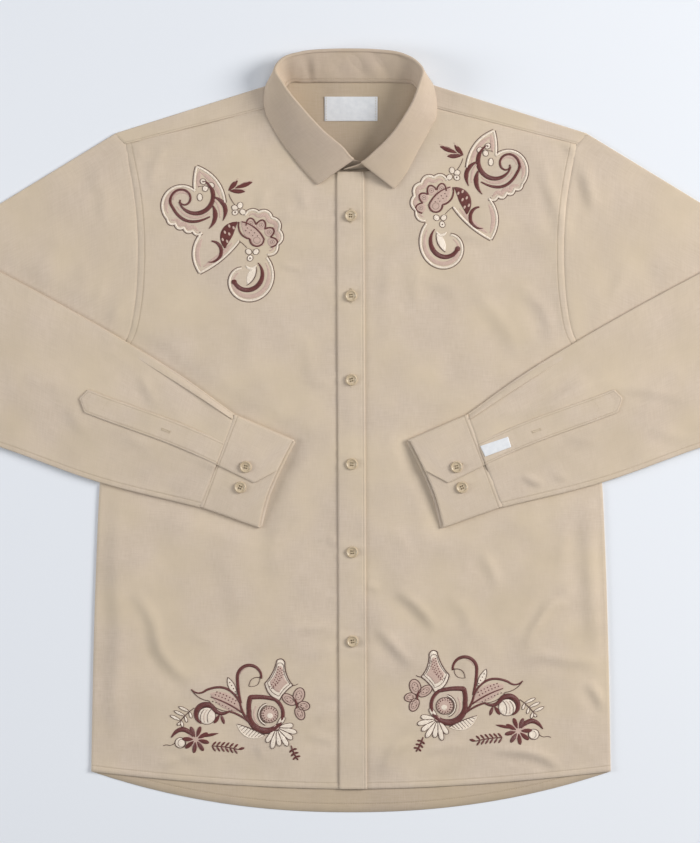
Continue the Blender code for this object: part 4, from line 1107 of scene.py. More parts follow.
def addFill(work, outline, slot, angle=0.0, lift=0.15, dome=0.35, pitch=1.6):
    # filled satin shape, domed a little, with its stitches lying one way
    edge = closedLoop(outline, pitch)
    area = np.sum(edge[:, 0] * np.roll(edge[:, 1], -1) - np.roll(edge[:, 0], -1) * edge[:, 1])
    if area < 0:
        edge = edge[::-1]
    centre = edge.mean(axis=0)
    n = len(edge)
    shares = (1.0, 0.97, 0.8, 0.55, 0.28)
    heights = [sunkEdge] + [lift + dome * math.sqrt(1 - s * s) for s in shares[1:]]
    rows = [np.column_stack([centre + (edge - centre) * s, np.full(n, z)]) for s, z in zip(shares, heights)]
    points = np.vstack([*rows, [[*centre, lift + dome]], [[*centre, sunkMiddle]]])
    faces = []
    for r in range(len(shares) - 1):
        faces += ringQuads(r * n, (r + 1) * n, n)
    last, top = (len(shares) - 1) * n, len(shares) * n
    for k in range(n):
        m = (k + 1) % n
        faces.append([last + k, last + m, top])
        faces.append([m, k, top + 1])
    c, s = math.cos(math.radians(angle)), math.sin(math.radians(angle))
    ways = np.column_stack([points[:, 0] * c + points[:, 1] * s, points[:, 1] * c - points[:, 0] * s])
    addPart(work, points, faces, ways, slot)


def ovalPoints(x, y, rx, ry, turn=0.0, count=10):
    c, s = math.cos(math.radians(turn)), math.sin(math.radians(turn))
    steps = np.linspace(0, 2 * math.pi, count, endpoint=False)
    rounds = [(rx * math.cos(t), ry * math.sin(t)) for t in steps]
    return [(x + a * c - b * s, y + a * s + b * c) for a, b in rounds]


def layWork(name, work, ground, finishes):
    points = np.concatenate(work["points"])
    points[:, 2] += ground(points[:, 0], points[:, 1])
    return putMesh(name, points, work["faces"], finishes, np.concatenate(work["ways"]), slots=work["slots"])


# Machine stitches: a Geometry Nodes row of short thread capsules along a sewn line
stitching = {"pitch": 2.6, "length": 2.1, "thread": 0.42}


def stitchTree():
    tree = bpy.data.node_groups.new("stitchRow", "GeometryNodeTree")
    tree.interface.new_socket("Geometry", in_out="INPUT", socket_type="NodeSocketGeometry")
    for name in ("Pitch", "Stitch length", "Thread width"):
        tree.interface.new_socket(name, in_out="INPUT", socket_type="NodeSocketFloat")
    tree.interface.new_socket("Thread", in_out="INPUT", socket_type="NodeSocketMaterial")
    tree.interface.new_socket("Geometry", in_out="OUTPUT", socket_type="NodeSocketGeometry")
    given = addNode(tree, "NodeGroupInput")
    path = addNode(tree, "GeometryNodeMeshToCurve", links={"Mesh": given.outputs["Geometry"]})
    even = addNode(tree, "GeometryNodeResampleCurve", {"mode": "LENGTH"},
                   {"Curve": path.outputs[0], "Length": given.outputs["Pitch"]})
    grain = addNode(tree, "GeometryNodeMeshIcoSphere", links={"Radius": 0.5, "Subdivisions": 1})
    size = addNode(tree, "ShaderNodeCombineXYZ", links={0: given.outputs["Stitch length"],
                                                        1: given.outputs["Thread width"],
                                                        2: given.outputs["Thread width"]})
    tangent = addNode(tree, "GeometryNodeInputTangent")
    turn = addNode(tree, "FunctionNodeAlignRotationToVector", {"axis": "X"}, {"Vector": tangent.outputs[0]})
    placed = addNode(tree, "GeometryNodeInstanceOnPoints", links={
        "Points": even.outputs[0], "Instance": grain.outputs["Mesh"], "Rotation": turn.outputs[0],
        "Scale": size.outputs[0]})
    real = addNode(tree, "GeometryNodeRealizeInstances", links={0: placed.outputs[0]})
    dressed = addNode(tree, "GeometryNodeSetMaterial", links={"Geometry": real.outputs[0],
                                                              "Material": given.outputs["Thread"]})
    addNode(tree, "NodeGroupOutput", links={0: dressed.outputs[0]})
    return tree


def applyTree(source, tree, values, name):
    # sets the named inputs by identifier, evaluates once, and keeps the result as a plain mesh
    live = source.modifiers.new("row", "NODES")
    live.node_group = tree
    for item in tree.interface.items_tree:
        if item.item_type == "SOCKET" and item.in_out == "INPUT" and item.name in values:
            live[item.identifier] = values[item.name]
    graph = bpy.context.evaluated_depsgraph_get()
    mesh = bpy.data.meshes.new_from_object(source.evaluated_get(graph))
    bpy.data.objects.remove(source, do_unlink=True)
    mesh.name = name
    made = bpy.data.objects.new(name, mesh)
    bpy.context.scene.collection.objects.link(made)
    return made


rowTree = stitchTree()


def sewRows(name, lines):
    points, edges, first = [], [], 0
    for line in lines:
        line = np.asarray(line, dtype=float)
        points.append(line)
        edges += [(first + k, first + k + 1) for k in range(len(line) - 1)]
        first += len(line)
    mesh = bpy.data.meshes.new(name + "Path")
    mesh.from_pydata((np.concatenate(points) * mm).tolist(), edges, [])
    source = bpy.data.objects.new(name + "Path", mesh)
    bpy.context.scene.collection.objects.link(source)
    values = {"Pitch": stitching["pitch"] * mm, "Stitch length": stitching["length"] * mm,
              "Thread width": stitching["thread"] * mm, "Thread": sewingThread}
    made = applyTree(source, rowTree, values, name)
    made.data.polygons.foreach_set("use_smooth", np.ones(len(made.data.polygons), dtype=bool))
    return made


def onGrid(grid, rows, columns):
    # points of a grid at fractional places
    rows, columns = np.broadcast_arrays(np.asarray(rows, dtype=float), np.asarray(columns, dtype=float))
    i = np.clip(rows.astype(int), 0, grid.shape[0] - 2)
    j = np.clip(columns.astype(int), 0, grid.shape[1] - 2)
    a, b = (rows - i)[:, None], (columns - j)[:, None]
    return (grid[i, j] * (1 - a) * (1 - b) + grid[i + 1, j] * a * (1 - b)
            + grid[i, j + 1] * (1 - a) * b + grid[i + 1, j + 1] * a * b)


def raised(x, y, height, lift=0.05):
    return np.column_stack([x, y, height(x, y) + lift])


def bodyLines():
    lines = []
    for side in (-1, 1):
        x = side * np.linspace(17.5, 276, 130)
        lines.append(raised(x, frontHemY(x) + body["hemStitch"], frontTop, 0.12))
        arm = along(armLine, np.linspace(0.02, 1, 90)) * (side, 1)
        lines.append(raised(arm[:, 0], arm[:, 1], frontTop))
        edge = along(yokeSeam, np.linspace(0.02, 0.985, 80)) * (side, 1) + (0.6 * side, 1.8)
        lines.append(raised(edge[:, 0], edge[:, 1], lambda a, b: upperUnder(a, b) + body["cloth"]))
    y = np.linspace(float(frontHemY(0)) + 1.5, body["frontNeckY"] - 2, 300)
    x = placketSizes["right"] - placketSizes["stitch"] + placketLean(y)
    lines.append(raised(x, y, placketTop))
    x = np.linspace(placketSizes["left"] + 2, placketSizes["right"] - 1.5, 12) + 1.6
    lines.append(raised(x, frontHemY(x) + body["hemStitch"], placketTop))
    x = np.linspace(-262, 262, 240)
    y = backHemY(x) + body["tailStitch"]
    shows = y < frontHemY(x) + 4
    lines.append(raised(x[shows], y[shows], backTop))
    return lines


def sleeveLines(side):
    lines = []
    u = np.linspace(0.02, 0.985, 130)
    width = forearmWidth(u)
    face = forearmFace(side, u[None], (1 - sleeve["felledStrip"] / width)[None])[0]
    lines.append(face * (side, 1, 1) + (0, 0, 0.05))
    grid = sleevePlacketGrid(side)[0]
    rows, columns = grid.shape[0] - 1, grid.shape[1] - 1
    inset = sleeve["placketStitch"] / sleeve["placketWidth"] * columns
    tip, cross = 3.5, 14    # rows of the grid where the tower's top and its cross stitch lie
    go = np.linspace(rows - 0.5, tip, 90)
    lines.append(onGrid(grid, go, inset + 0 * go))
    lines.append(onGrid(grid, go, columns - inset + 0 * go))
    over = np.linspace(inset, columns - inset, 14)
    lines += [onGrid(grid, row + 0 * over, over) for row in (tip, cross)]
    return lines


def cuffLines(made):
    _, outer, ways = made
    last = len(outer[0]) - 1
    near = np.interp(cuff["stitch"], ways[:, 0, 0], np.arange(len(outer)))
    over, under = np.linspace(0.5, 29.5, 50), np.linspace(last - 32, last - 0.5, 50)
    return [onGrid(outer, near + 0 * columns, columns) + (0, 0, 0.05) for columns in (over, under)]


def standLines():
    _, seam, _, down, outward = collarSections(np.linspace(0, 1, collarSizes["columns"]))
    half = outward * (collarSizes["cloth"] / 2 + 0.05)
    return [(seam - down * collarSizes["stitch"] + face)[4:-4] for face in (half, -half)]


bodyStitches = sewRows("bodyTopStitches", bodyLines())
sleeveStitches = sewRows("sleeveTopStitches", [line for side in (-1, 1) for line in sleeveLines(side)])
cuffStitches = sewRows("cuffTopStitches", [line for made in cuffs.values() for line in cuffLines(made)])
collarStitches = sewRows("collarTopStitches", standLines())
print("top stitching made")


# Buttons: cast discs with a rounded rim, a well and four holes, sewn with two bars of thread
button = {"radius": 6.3, "height": 2.4, "sides": 40, "hole": 0.85, "spread": 1.75, "floor": 0.56}
buttonhole = {"length": 15.5, "cuffLength": 15, "sleeveLength": 9, "apart": 0.85, "tack": 1.5}


def buttonMesh():
    profile = (
        (0.80, 0.0), (0.95, 0.12), (1.0, 0.42), (0.985, 0.72), (0.93, 0.93), (0.86, 1.0), (0.79, 0.95),
        (0.72, 0.72), (0.64, 0.6), (0.5, button["floor"]),
    )
    n = button["sides"]
    around = np.linspace(0, 2 * math.pi, n, endpoint=False)
    circle = np.column_stack([np.cos(around), np.sin(around)]) * button["radius"]
    points = np.vstack([np.column_stack([circle * r, np.full(n, button["height"] * z)]) for r, z in profile])
    faces = []
    for i in range(len(profile) - 1):
        faces += ringQuads(i * n, (i + 1) * n, n)
    faces.append(list(range(n))[::-1])
    faces.append([(len(profile) - 1) * n + k for k in range(n)])
    blank = putMesh("buttonBlank", points, faces, resin)
    pegs, pegFaces, sides = [], [], 12
    for t in (math.pi / 4 + k * math.pi / 2 for k in range(4)):
        x, y, first = button["spread"] * math.cos(t), button["spread"] * math.sin(t), len(pegs)
        for z in (-1.0, 4.0):
            pegs += [(*spot, z) for spot in ovalPoints(x, y, button["hole"], button["hole"], 0, sides)]
        pegFaces += ringQuads(first, first + sides, sides)
        pegFaces += [[first + k for k in range(sides)][::-1], [first + sides + k for k in range(sides)]]
    peg = putMesh("buttonPegs", np.asarray(pegs), pegFaces, resin)
    cut = blank.modifiers.new("holes", "BOOLEAN")
    cut.solver, cut.operation, cut.object = "EXACT", "DIFFERENCE", peg
    mesh = bpy.data.meshes.new_from_object(blank.evaluated_get(bpy.context.evaluated_depsgraph_get()))
    spots = np.array([v.co for v in mesh.vertices]) / mm
    rows = [list(p.vertices) for p in mesh.polygons]
    bpy.data.objects.remove(blank, do_unlink=True)
    bpy.data.objects.remove(peg, do_unlink=True)
    return spots, rows


buttonSpots, buttonFaces = buttonMesh()


def sewButton(name, work, x, y, z, turn=0.0):
    c, s = math.cos(math.radians(turn)), math.sin(math.radians(turn))
    spin = np.array(((c, s, 0), (-s, c, 0), (0, 0, 1)))
    made = putMesh(name, buttonSpots @ spin + (x, y, z), buttonFaces, resin)
    made.data.set_sharp_from_angle(angle=math.radians(42))
    well = button["height"] * button["floor"]
    reach = button["spread"] / math.sqrt(2)
    for bar in (-reach, reach):
        for k in (-0.33, 0.0, 0.33):
            ends = np.array(((-reach - 0.2, bar + k), (0, bar + k * 1.3), (reach + 0.2, bar + k)))
            plan = ends @ spin[:2, :2] + (x, y)
            addRibbon(work, plan, (0.4, 0.42, 0.4), 0, lift=z + well, pitch=0.5)
    return made


def addButtonhole(work, x, y, turn, lift, length=buttonhole["length"]):
    # two close satin bars with a bar tack at each end
    c, s = math.cos(math.radians(turn)), math.sin(math.radians(turn))
    for off in (-buttonhole["apart"], buttonhole["apart"]):
        line = [(x + c * d - s * off, y + s * d + c * off) for d in (-length / 2, 0, length / 2)]
        addRibbon(work, line, (1.1, 1.15, 1.1), 0, lift=lift + 0.1, dome=0.3)
    tack = buttonhole["tack"]
    for d in (-length / 2, length / 2):
        line = [(x + c * d - s * off, y + s * d + c * off) for off in (-tack, 0, tack)]
        addRibbon(work, line, (1.0, 1.1, 1.0), 0, lift=lift + 0.2, dome=0.3)


def cuffHeight(depth, across, layerZ):
    return sleeve["lowZ"] + layerZ + cuff["cloth"] / 2 + float(cuffLoft(depth, across))


cuffButtons = ((0.49, 0.45, cuffOverZ), (0.53, 0.665, cuffUnderZ))    # depth, place across, layer below
buttons = {}
threadBars, holeWork = newWork(), newWork()
for number, y in enumerate(buttonRow, start=1):
    x = (placketSizes["left"] + placketSizes["right"]) / 2 + float(placketLean(y))
    z = float(placketTop(np.array(x), np.array(y)))
    turn = 7 * number % 23 - 9    # each one turned a little differently
    buttons[f"button_front_{number}"] = sewButton(f"frontButton{number}", threadBars, x, y, z + 0.3, turn)
    addButtonhole(holeWork, x, y, 90, z)
for word, side in (("right", -1), ("left", 1)):
    for number, (depth, across, layerZ) in enumerate(cuffButtons, start=1):
        x, y = (float(v) for v in cuffPlace(depth, np.array(across), 0))
        z = cuffHeight(depth, across, layerZ)
        name = f"cuffButton{word.capitalize()}{number}"
        buttons[f"button_cuff_{word}_{number}"] = sewButton(name, threadBars, x * side, y, z + 0.1,
                                                            12 * number * side)
        if number == 1:
            addButtonhole(holeWork, x * side, y, side * 25.5, z - 0.2, buttonhole["cuffLength"])
    u = np.array([[0.805]])
    spot = forearmFace(side, u, placketAcross(u, np.array([[0.52]]), forearmWidth(u)))[0, 0]
    x, y, z = float(spot[0]) * side, float(spot[1]), float(spot[2]) + 1.55
    addButtonhole(holeWork, x, y, side * 21, z, buttonhole["sleeveLength"])
threads = layWork("buttonThreads", threadBars, lambda x, y: 0 * x, [buttonThread])
holes = layWork("buttonholes", holeWork, lambda x, y: 0 * x, [sewingThread])
print("buttons and buttonholes made")


# Labels: bare woven tape, the large one sewn inside the yoke, the small one on the left sleeve's placket
label = {"middleY": 347.0, "size": (57.0, 26.0), "thick": 0.5}


def softLabel(name, plan, ground, lift):
    x, y = plan[..., 0], plan[..., 1]
    top = ground(x, y) + lift
    outer, inner = np.dstack([plan, top]), np.dstack([plan, top - label["thick"]])
    way = np.dstack(np.meshgrid(np.arange(x.shape[1]) * 1.0, np.arange(x.shape[0]) * 1.0))
    return shell(name, outer, inner, way, tape)


def neckWave(x, y):
    return 1.9 + 0.25 * np.cos(x / 11.0) * np.cos(y / 9.0)


gx, gy = np.meshgrid(np.linspace(-0.5, 0.5, 58), np.linspace(-0.5, 0.5, 27))
neckPlan = np.dstack([gx * label["size"][0], label["middleY"] + gy * label["size"][1]])
neckLabel = softLabel("neckLabel", neckPlan, neckWave, 0.0)
corners = np.array(((139.3, -17.2), (169.1, -7.1), (144.6, -28.2), (172.4, -17.9)))
gx, gy = (part[..., None] for part in np.meshgrid(np.linspace(0, 1, 34), np.linspace(0, 1, 13)))
sleevePlan = ((1 - gy) * ((1 - gx) * corners[0] + gx * corners[1])
              + gy * ((1 - gx) * corners[2] + gx * corners[3]))
placketGrid = sleevePlacketGrid(1)[0].reshape(-1, 3)


def placketFace(x, y):
    # height of the sleeve placket's face near each place, by inverse distance
    away = np.hypot(x.ravel()[:, None] - placketGrid[:, 0], y.ravel()[:, None] - placketGrid[:, 1])
    weight = 1 / (away + 0.3) ** 4
    return ((weight * placketGrid[:, 2]).sum(axis=1) / weight.sum(axis=1)).reshape(x.shape)


sleeveLabel = softLabel("sleeveLabel", sleevePlan, placketFace, 0.7)
labelRows = [np.column_stack([np.full(30, x), np.linspace(335.5, 358.5, 30), np.full(30, 2.15)])
             for x in (-26.6, 26.6)]
labelStitches = sewRows("labelStitches", labelRows)
print("labels made")


# Embroidery: ordinary flowers, leaves, paisleys and butterflies, drawn from arcs, bows and petals in steps
# of 1.08 mm right and down from each motif's upper left corner; the wearer's left pair is mirrored
grid = 1.08
wine, cream, pink, brown = 0, 1, 2, 3
motifCorners = {    # corner, then width and height against the drawing
    "chestRight": (-214.9, 297.3, 1, 1.0), "chestLeft": (200.9, 336.2, -0.965, 1.022),
    "hemRight": (-210.6, -239.5, 1, 1.0), "hemLeft": (223.6, -230.4, -1, 1.0),
}


def newMotif(name):
    x, y, wide, tall = motifCorners[name]
    return {"work": newWork(), "corner": np.array((x, y)), "scale": np.array((wide * grid, -tall * grid)),
            "bold": 1.42 if name.startswith("hem") else 1.3}


def onShirt(motif, points):
    return np.asarray(points, dtype=float) * motif["scale"] + motif["corner"]


def line(motif, points, widths, slot, lift=0.3, dome=0.4, closed=False):
    bold = grid * (motif["bold"] if slot == wine else 1.0)
    widths = [width * bold for width in widths]
    addRibbon(motif["work"], onShirt(motif, points), widths, slot, lift, dome, 1.2, closed)


def area(motif, points, slot, angle=0.0, lift=0.12, dome=0.22):
    turned = angle * np.sign(motif["scale"][0])
    addFill(motif["work"], onShirt(motif, points), slot, turned, lift, dome, 1.5)


def oval(motif, x, y, rx, ry, slot, outline=None, turn=0.0, lift=0.18, wide=0.8):
    points = ovalPoints(x, y, rx, ry, turn, 10)
    area(motif, points, slot, turn + 40, lift, 0.25)
    if outline is not None:
        line(motif, points, (wide,), outline, lift + 0.15, 0.3, True)


def dots(motif, points, radius, slot, lift=0.35):
    for x, y in points:
        area(motif, ovalPoints(x, y, radius, radius, 0, 6), slot, 0, lift, 0.25)


def spaced(points, count):
    return along(np.asarray(points, dtype=float), np.linspace(0, 1, count))


def petal(motif, start, end, wide, slot, outline=None, blunt=0.5, lift=0.2):
    # almond or round-ended petal from start to end
    start, end = np.array(start, dtype=float), np.array(end, dtype=float)
    run = end - start
    out = np.array((-run[1], run[0])) / np.linalg.norm(run) * wide / 2
    half = ((0, 0.12), (0.3, 0.8), (0.62, 1.0), (0.88, 0.4 + blunt * 0.5))
    shape = [start + run * t + out * w for t, w in half] + [end + out * 0.05]
    shape += [start + run * t - out * w for t, w in half[::-1]]
    area(motif, shape, slot, math.degrees(math.atan2(-run[1], run[0])) + 55, lift, 0.4)
    if outline is not None:
        line(motif, shape, (0.75,), outline, lift + 0.2, 0.3, True)


def arc(x, y, radius, start, stop, end=None, count=14):
    # round a centre, in degrees from the right toward the bottom; the radius may change on the way
    turns = np.radians(np.linspace(start, stop, count))
    reach = np.linspace(radius, radius if end is None else end, count)
    return np.stack((x + reach * np.cos(turns), y + reach * np.sin(turns)), 1)


def bow(start, end, bend, count=9):
    # from place to place, bent to the left of the way by a share of its length
    start, end = np.array(start, dtype=float), np.array(end, dtype=float)
    run = end - start
    share = np.linspace(0, 1, count)[:, None]
    return start + run * share + np.array((run[1], -run[0])) * 4 * bend * share * (1 - share)


def chain(*paths):
    return np.concatenate([paths[0]] + [path[1:] for path in paths[1:]])


def blade(start, end, wide, bend=0.0):
    # leaf with two points
    rib = bow(start, end, bend, 13)
    half = np.sin(math.pi * np.linspace(0, 1, 13)) ** 0.8 * wide / 2
    out = sideways(rib) * half[:, None]
    return np.concatenate((rib + out, (rib - out)[-2:0:-1]))


def innerSide(path, inner):
    out = sideways(path)
    middle = len(path) // 2
    return out * (1 if (np.asarray(inner) - path[middle]) @ out[middle] > 0 else -1)


def inset(points, inner, amount):
    # the same line moved toward an inner place
    path = along(np.asarray(points, dtype=float), np.linspace(0, 1, 4 * len(points)))
    return path + innerSide(path, inner) * amount


def scallops(points, inner, count, depth):
    path = along(np.asarray(points, dtype=float), np.linspace(0, 1, 8 * count + 1))
    waves = np.abs(np.sin(math.pi * np.linspace(0, count, len(path)))) * depth
    return path - innerSide(path, inner) * waves[:, None]


def ray(x, y, turn, reach):
    way = math.radians(turn)
    return np.array((x + reach * math.cos(way), y + reach * math.sin(way)))


def berries(m, x, y, turns):
    places = [ray(x, y, turn, 4.5) for turn in turns]
    for place, turn in zip(places, turns):
        oval(m, *place, 3.24, 2.76, cream, brown, turn, 0.2, 0.7)
    dots(m, places[:1], 0.9, brown, 0.5)


def leaflets(m, places, sides, slot, outline=None):
    # leaflets beside a stem: way, reach and width of each
    for place in places:
        for turn, reach, wide in sides:
            petal(m, place, ray(*place, turn, reach), wide, slot, outline, 0.4)


def edgeRound(m, points, inner):
    # pink inside, cream cord, fine brown outside
    line(m, inset(points, inner, 3.9)[4:-4], (1.4, 5.2, 5.2, 5.2, 1.4), pink, 0.05, 0.1)
    line(m, points, (2.0, 2.5, 2.5, 2.5, 2.0), cream, 0.3, 0.35)
    line(m, inset(points, inner, -1.7), (0.8,), brown, 0.2, 0.25)


def sewChest(name):
    m = newMotif(name)
    peak, notch, foot = (45, 12), (43, 36), (48, 118)
    wingAt, tailAt, curlAt, fruitAt = (56, 38), (62, 96), (30, 51), (105, 80)
    edgeRound(m, bow((73, 48), peak, -0.15), wingAt)
    edgeRound(m, bow(peak, notch, -0.05), wingAt)
    edgeRound(m, arc(*curlAt, 19.5, -48, -222), curlAt)
    edgeRound(m, scallops(bow((15.5, 64), (50, 78), -0.06, 17), (36, 58), 4, 2.6), (36, 58))
    edgeRound(m, bow((50, 78), foot, -0.18), tailAt)
    edgeRound(m, bow(foot, (87, 86), -0.06), tailAt)
    edgeRound(m, scallops(arc(*fruitAt, 22.5, -122, 62, None, 24), fruitAt, 5, 2.8), fruitAt)
    edgeRound(m, arc(93.5, 124, 30, -45, 250, 11, 26), (95, 126))

    line(m, arc(44, 41, 21.6, 150, 50), (1.6, 4.0, 1.2), pink, 0.08, 0.1)
    line(m, arc(30, 46, 8.6, -175, -15), (1.6, 3.6, 1.6), pink, 0.08, 0.1)
    line(m, chain(arc(31, 45, 2.4, 180, -190, 12.8, 20), bow((18.4, 47.3), (58, 62), -0.28)),
         (1.2, 1.9, 2.1, 2.3, 2.5, 2.7, 2.5, 1.3), wine)
    line(m, arc(44, 41, 18, 160, -60, 17), (0.8, 3.0, 3.9, 4.0, 3.8, 1.1), wine)
    line(m, bow((61, 43), (68, 63), 0.12), (1.4, 3.6, 1), pink, 0.1, 0.2)
    line(m, bow((62, 42), (71, 66), 0.26), (1.2, 3.9, 3.9, 0.5), wine)
    line(m, bow((61, 51), (57, 74), 0.18), (1.4, 4.4, 3.4, 0.5), wine)
    for turn, near, far in ((-48, 0, 14), (-20, 7, 26), (3, 1, 17)):
        petal(m, ray(76.5, 36, turn, near), ray(76.5, 36, turn, far), 4.8, wine, None, 0.15)
        line(m, (ray(77, 34, turn, near + 2), ray(77, 34, turn, far)), (0.6, 0.9, 0.5), pink, 0.25)
    line(m, arc(59, 96, 9.6, -85, 105, 11.5), (1.4, 3, 3.3, 2.6, 0.5), wine)
    comma = arc(94, 120.5, 17.4, -46, 150, 13.5)
    line(m, comma, (0.7, 3, 4.1, 4.1, 3.7, 3.6), wine)
    oval(m, *comma[-1], 2.8, 2.7, wine, None, 0, 0.35)

    # leaf with pale eyes
    area(m, blade((86, 67), (73, 94), 12.5, -0.16), wine, 60, 0.2, 0.35)
    for place in bow((86, 67), (73, 94), -0.16)[2:7:2]:
        for off in (-2.2, 2.2):
            oval(m, place[0] + off, place[1] + off * 0.4, 1.9, 1.1, pink, None, 65, 0.55)

    # half fruit with four round lobes over one large
    lobesAt = (101, 88)
    area(m, blade((89, 66), (112, 91), 15), pink, 35, 0.08, 0.2)
    oval(m, 105, 85, 6.6, 6.4, pink, None, 35, 0.1)
    for place in arc(*lobesAt, 19.5, -96, -2, None, 4):
        oval(m, *place, 5.2, 4.8, pink, None, 35, 0.12)
        line(m, ovalPoints(*place, 2.1, 2.0, 20, 8), (0.55,), brown, 0.32, 0.2, True)
        dots(m, (place,), 0.6, brown)
    line(m, scallops(arc(*lobesAt, 18.5, -112, 14, None, 24), lobesAt, 4, 6.2), (1.3, 1.6, 1.4), wine, 0.32)
    line(m, chain(bow((87, 67), (98, 84.5), -0.22), arc(105, 84.5, 7, 180, 5)), (1.3, 1.7, 1.4), wine, 0.32)
    rib = bow((90, 67), (112.5, 85), 0.12)
    line(m, rib, (1.1, 1.6, 1.4), wine, 0.32)
    line(m, ovalPoints(105, 85.5, 3.4, 3.2, 20, 8), (0.55,), brown, 0.32, 0.2, True)
    dots(m, [place + (-2.4, 3.4) for place in spaced(rib, 8)[2:6]], 0.6, brown)
    dots(m, [place + (-4.2, 6.0) for place in spaced(rib, 8)[2:5]], 0.6, brown)

    berries(m, 55, 29.5, (215, 15, 110))
    berries(m, 87, 55, (145, 205, 285, 30))
    berries(m, 100.5, 99.5, (120, 215, 325))
    oval(m, 48, 42.5, 2.6, 3.8, cream, brown, 0, 0.2, 0.7)
    stalks = (((46, 32), (59, 33), 0.08), ((77, 39), (83, 50), -0.06), ((87, 86), (95, 93), 0.03))
    for start, end, bend in stalks:
        line(m, bow(start, end, bend), (0.7,), brown, 0.25)
    line(m, bow((94, 111), (104.5, 110.5), -0.32), (1.4, 4.0, 1.4), cream, 0.25)
    area(m, blade((105, 112), (95.5, 130), 7.5, -0.05), cream, 30, 0.15)
    line(m, bow((104.4, 112), (95, 130.5), 0.16), (0.9, 1.1, 0.8), brown, 0.3)
    return m


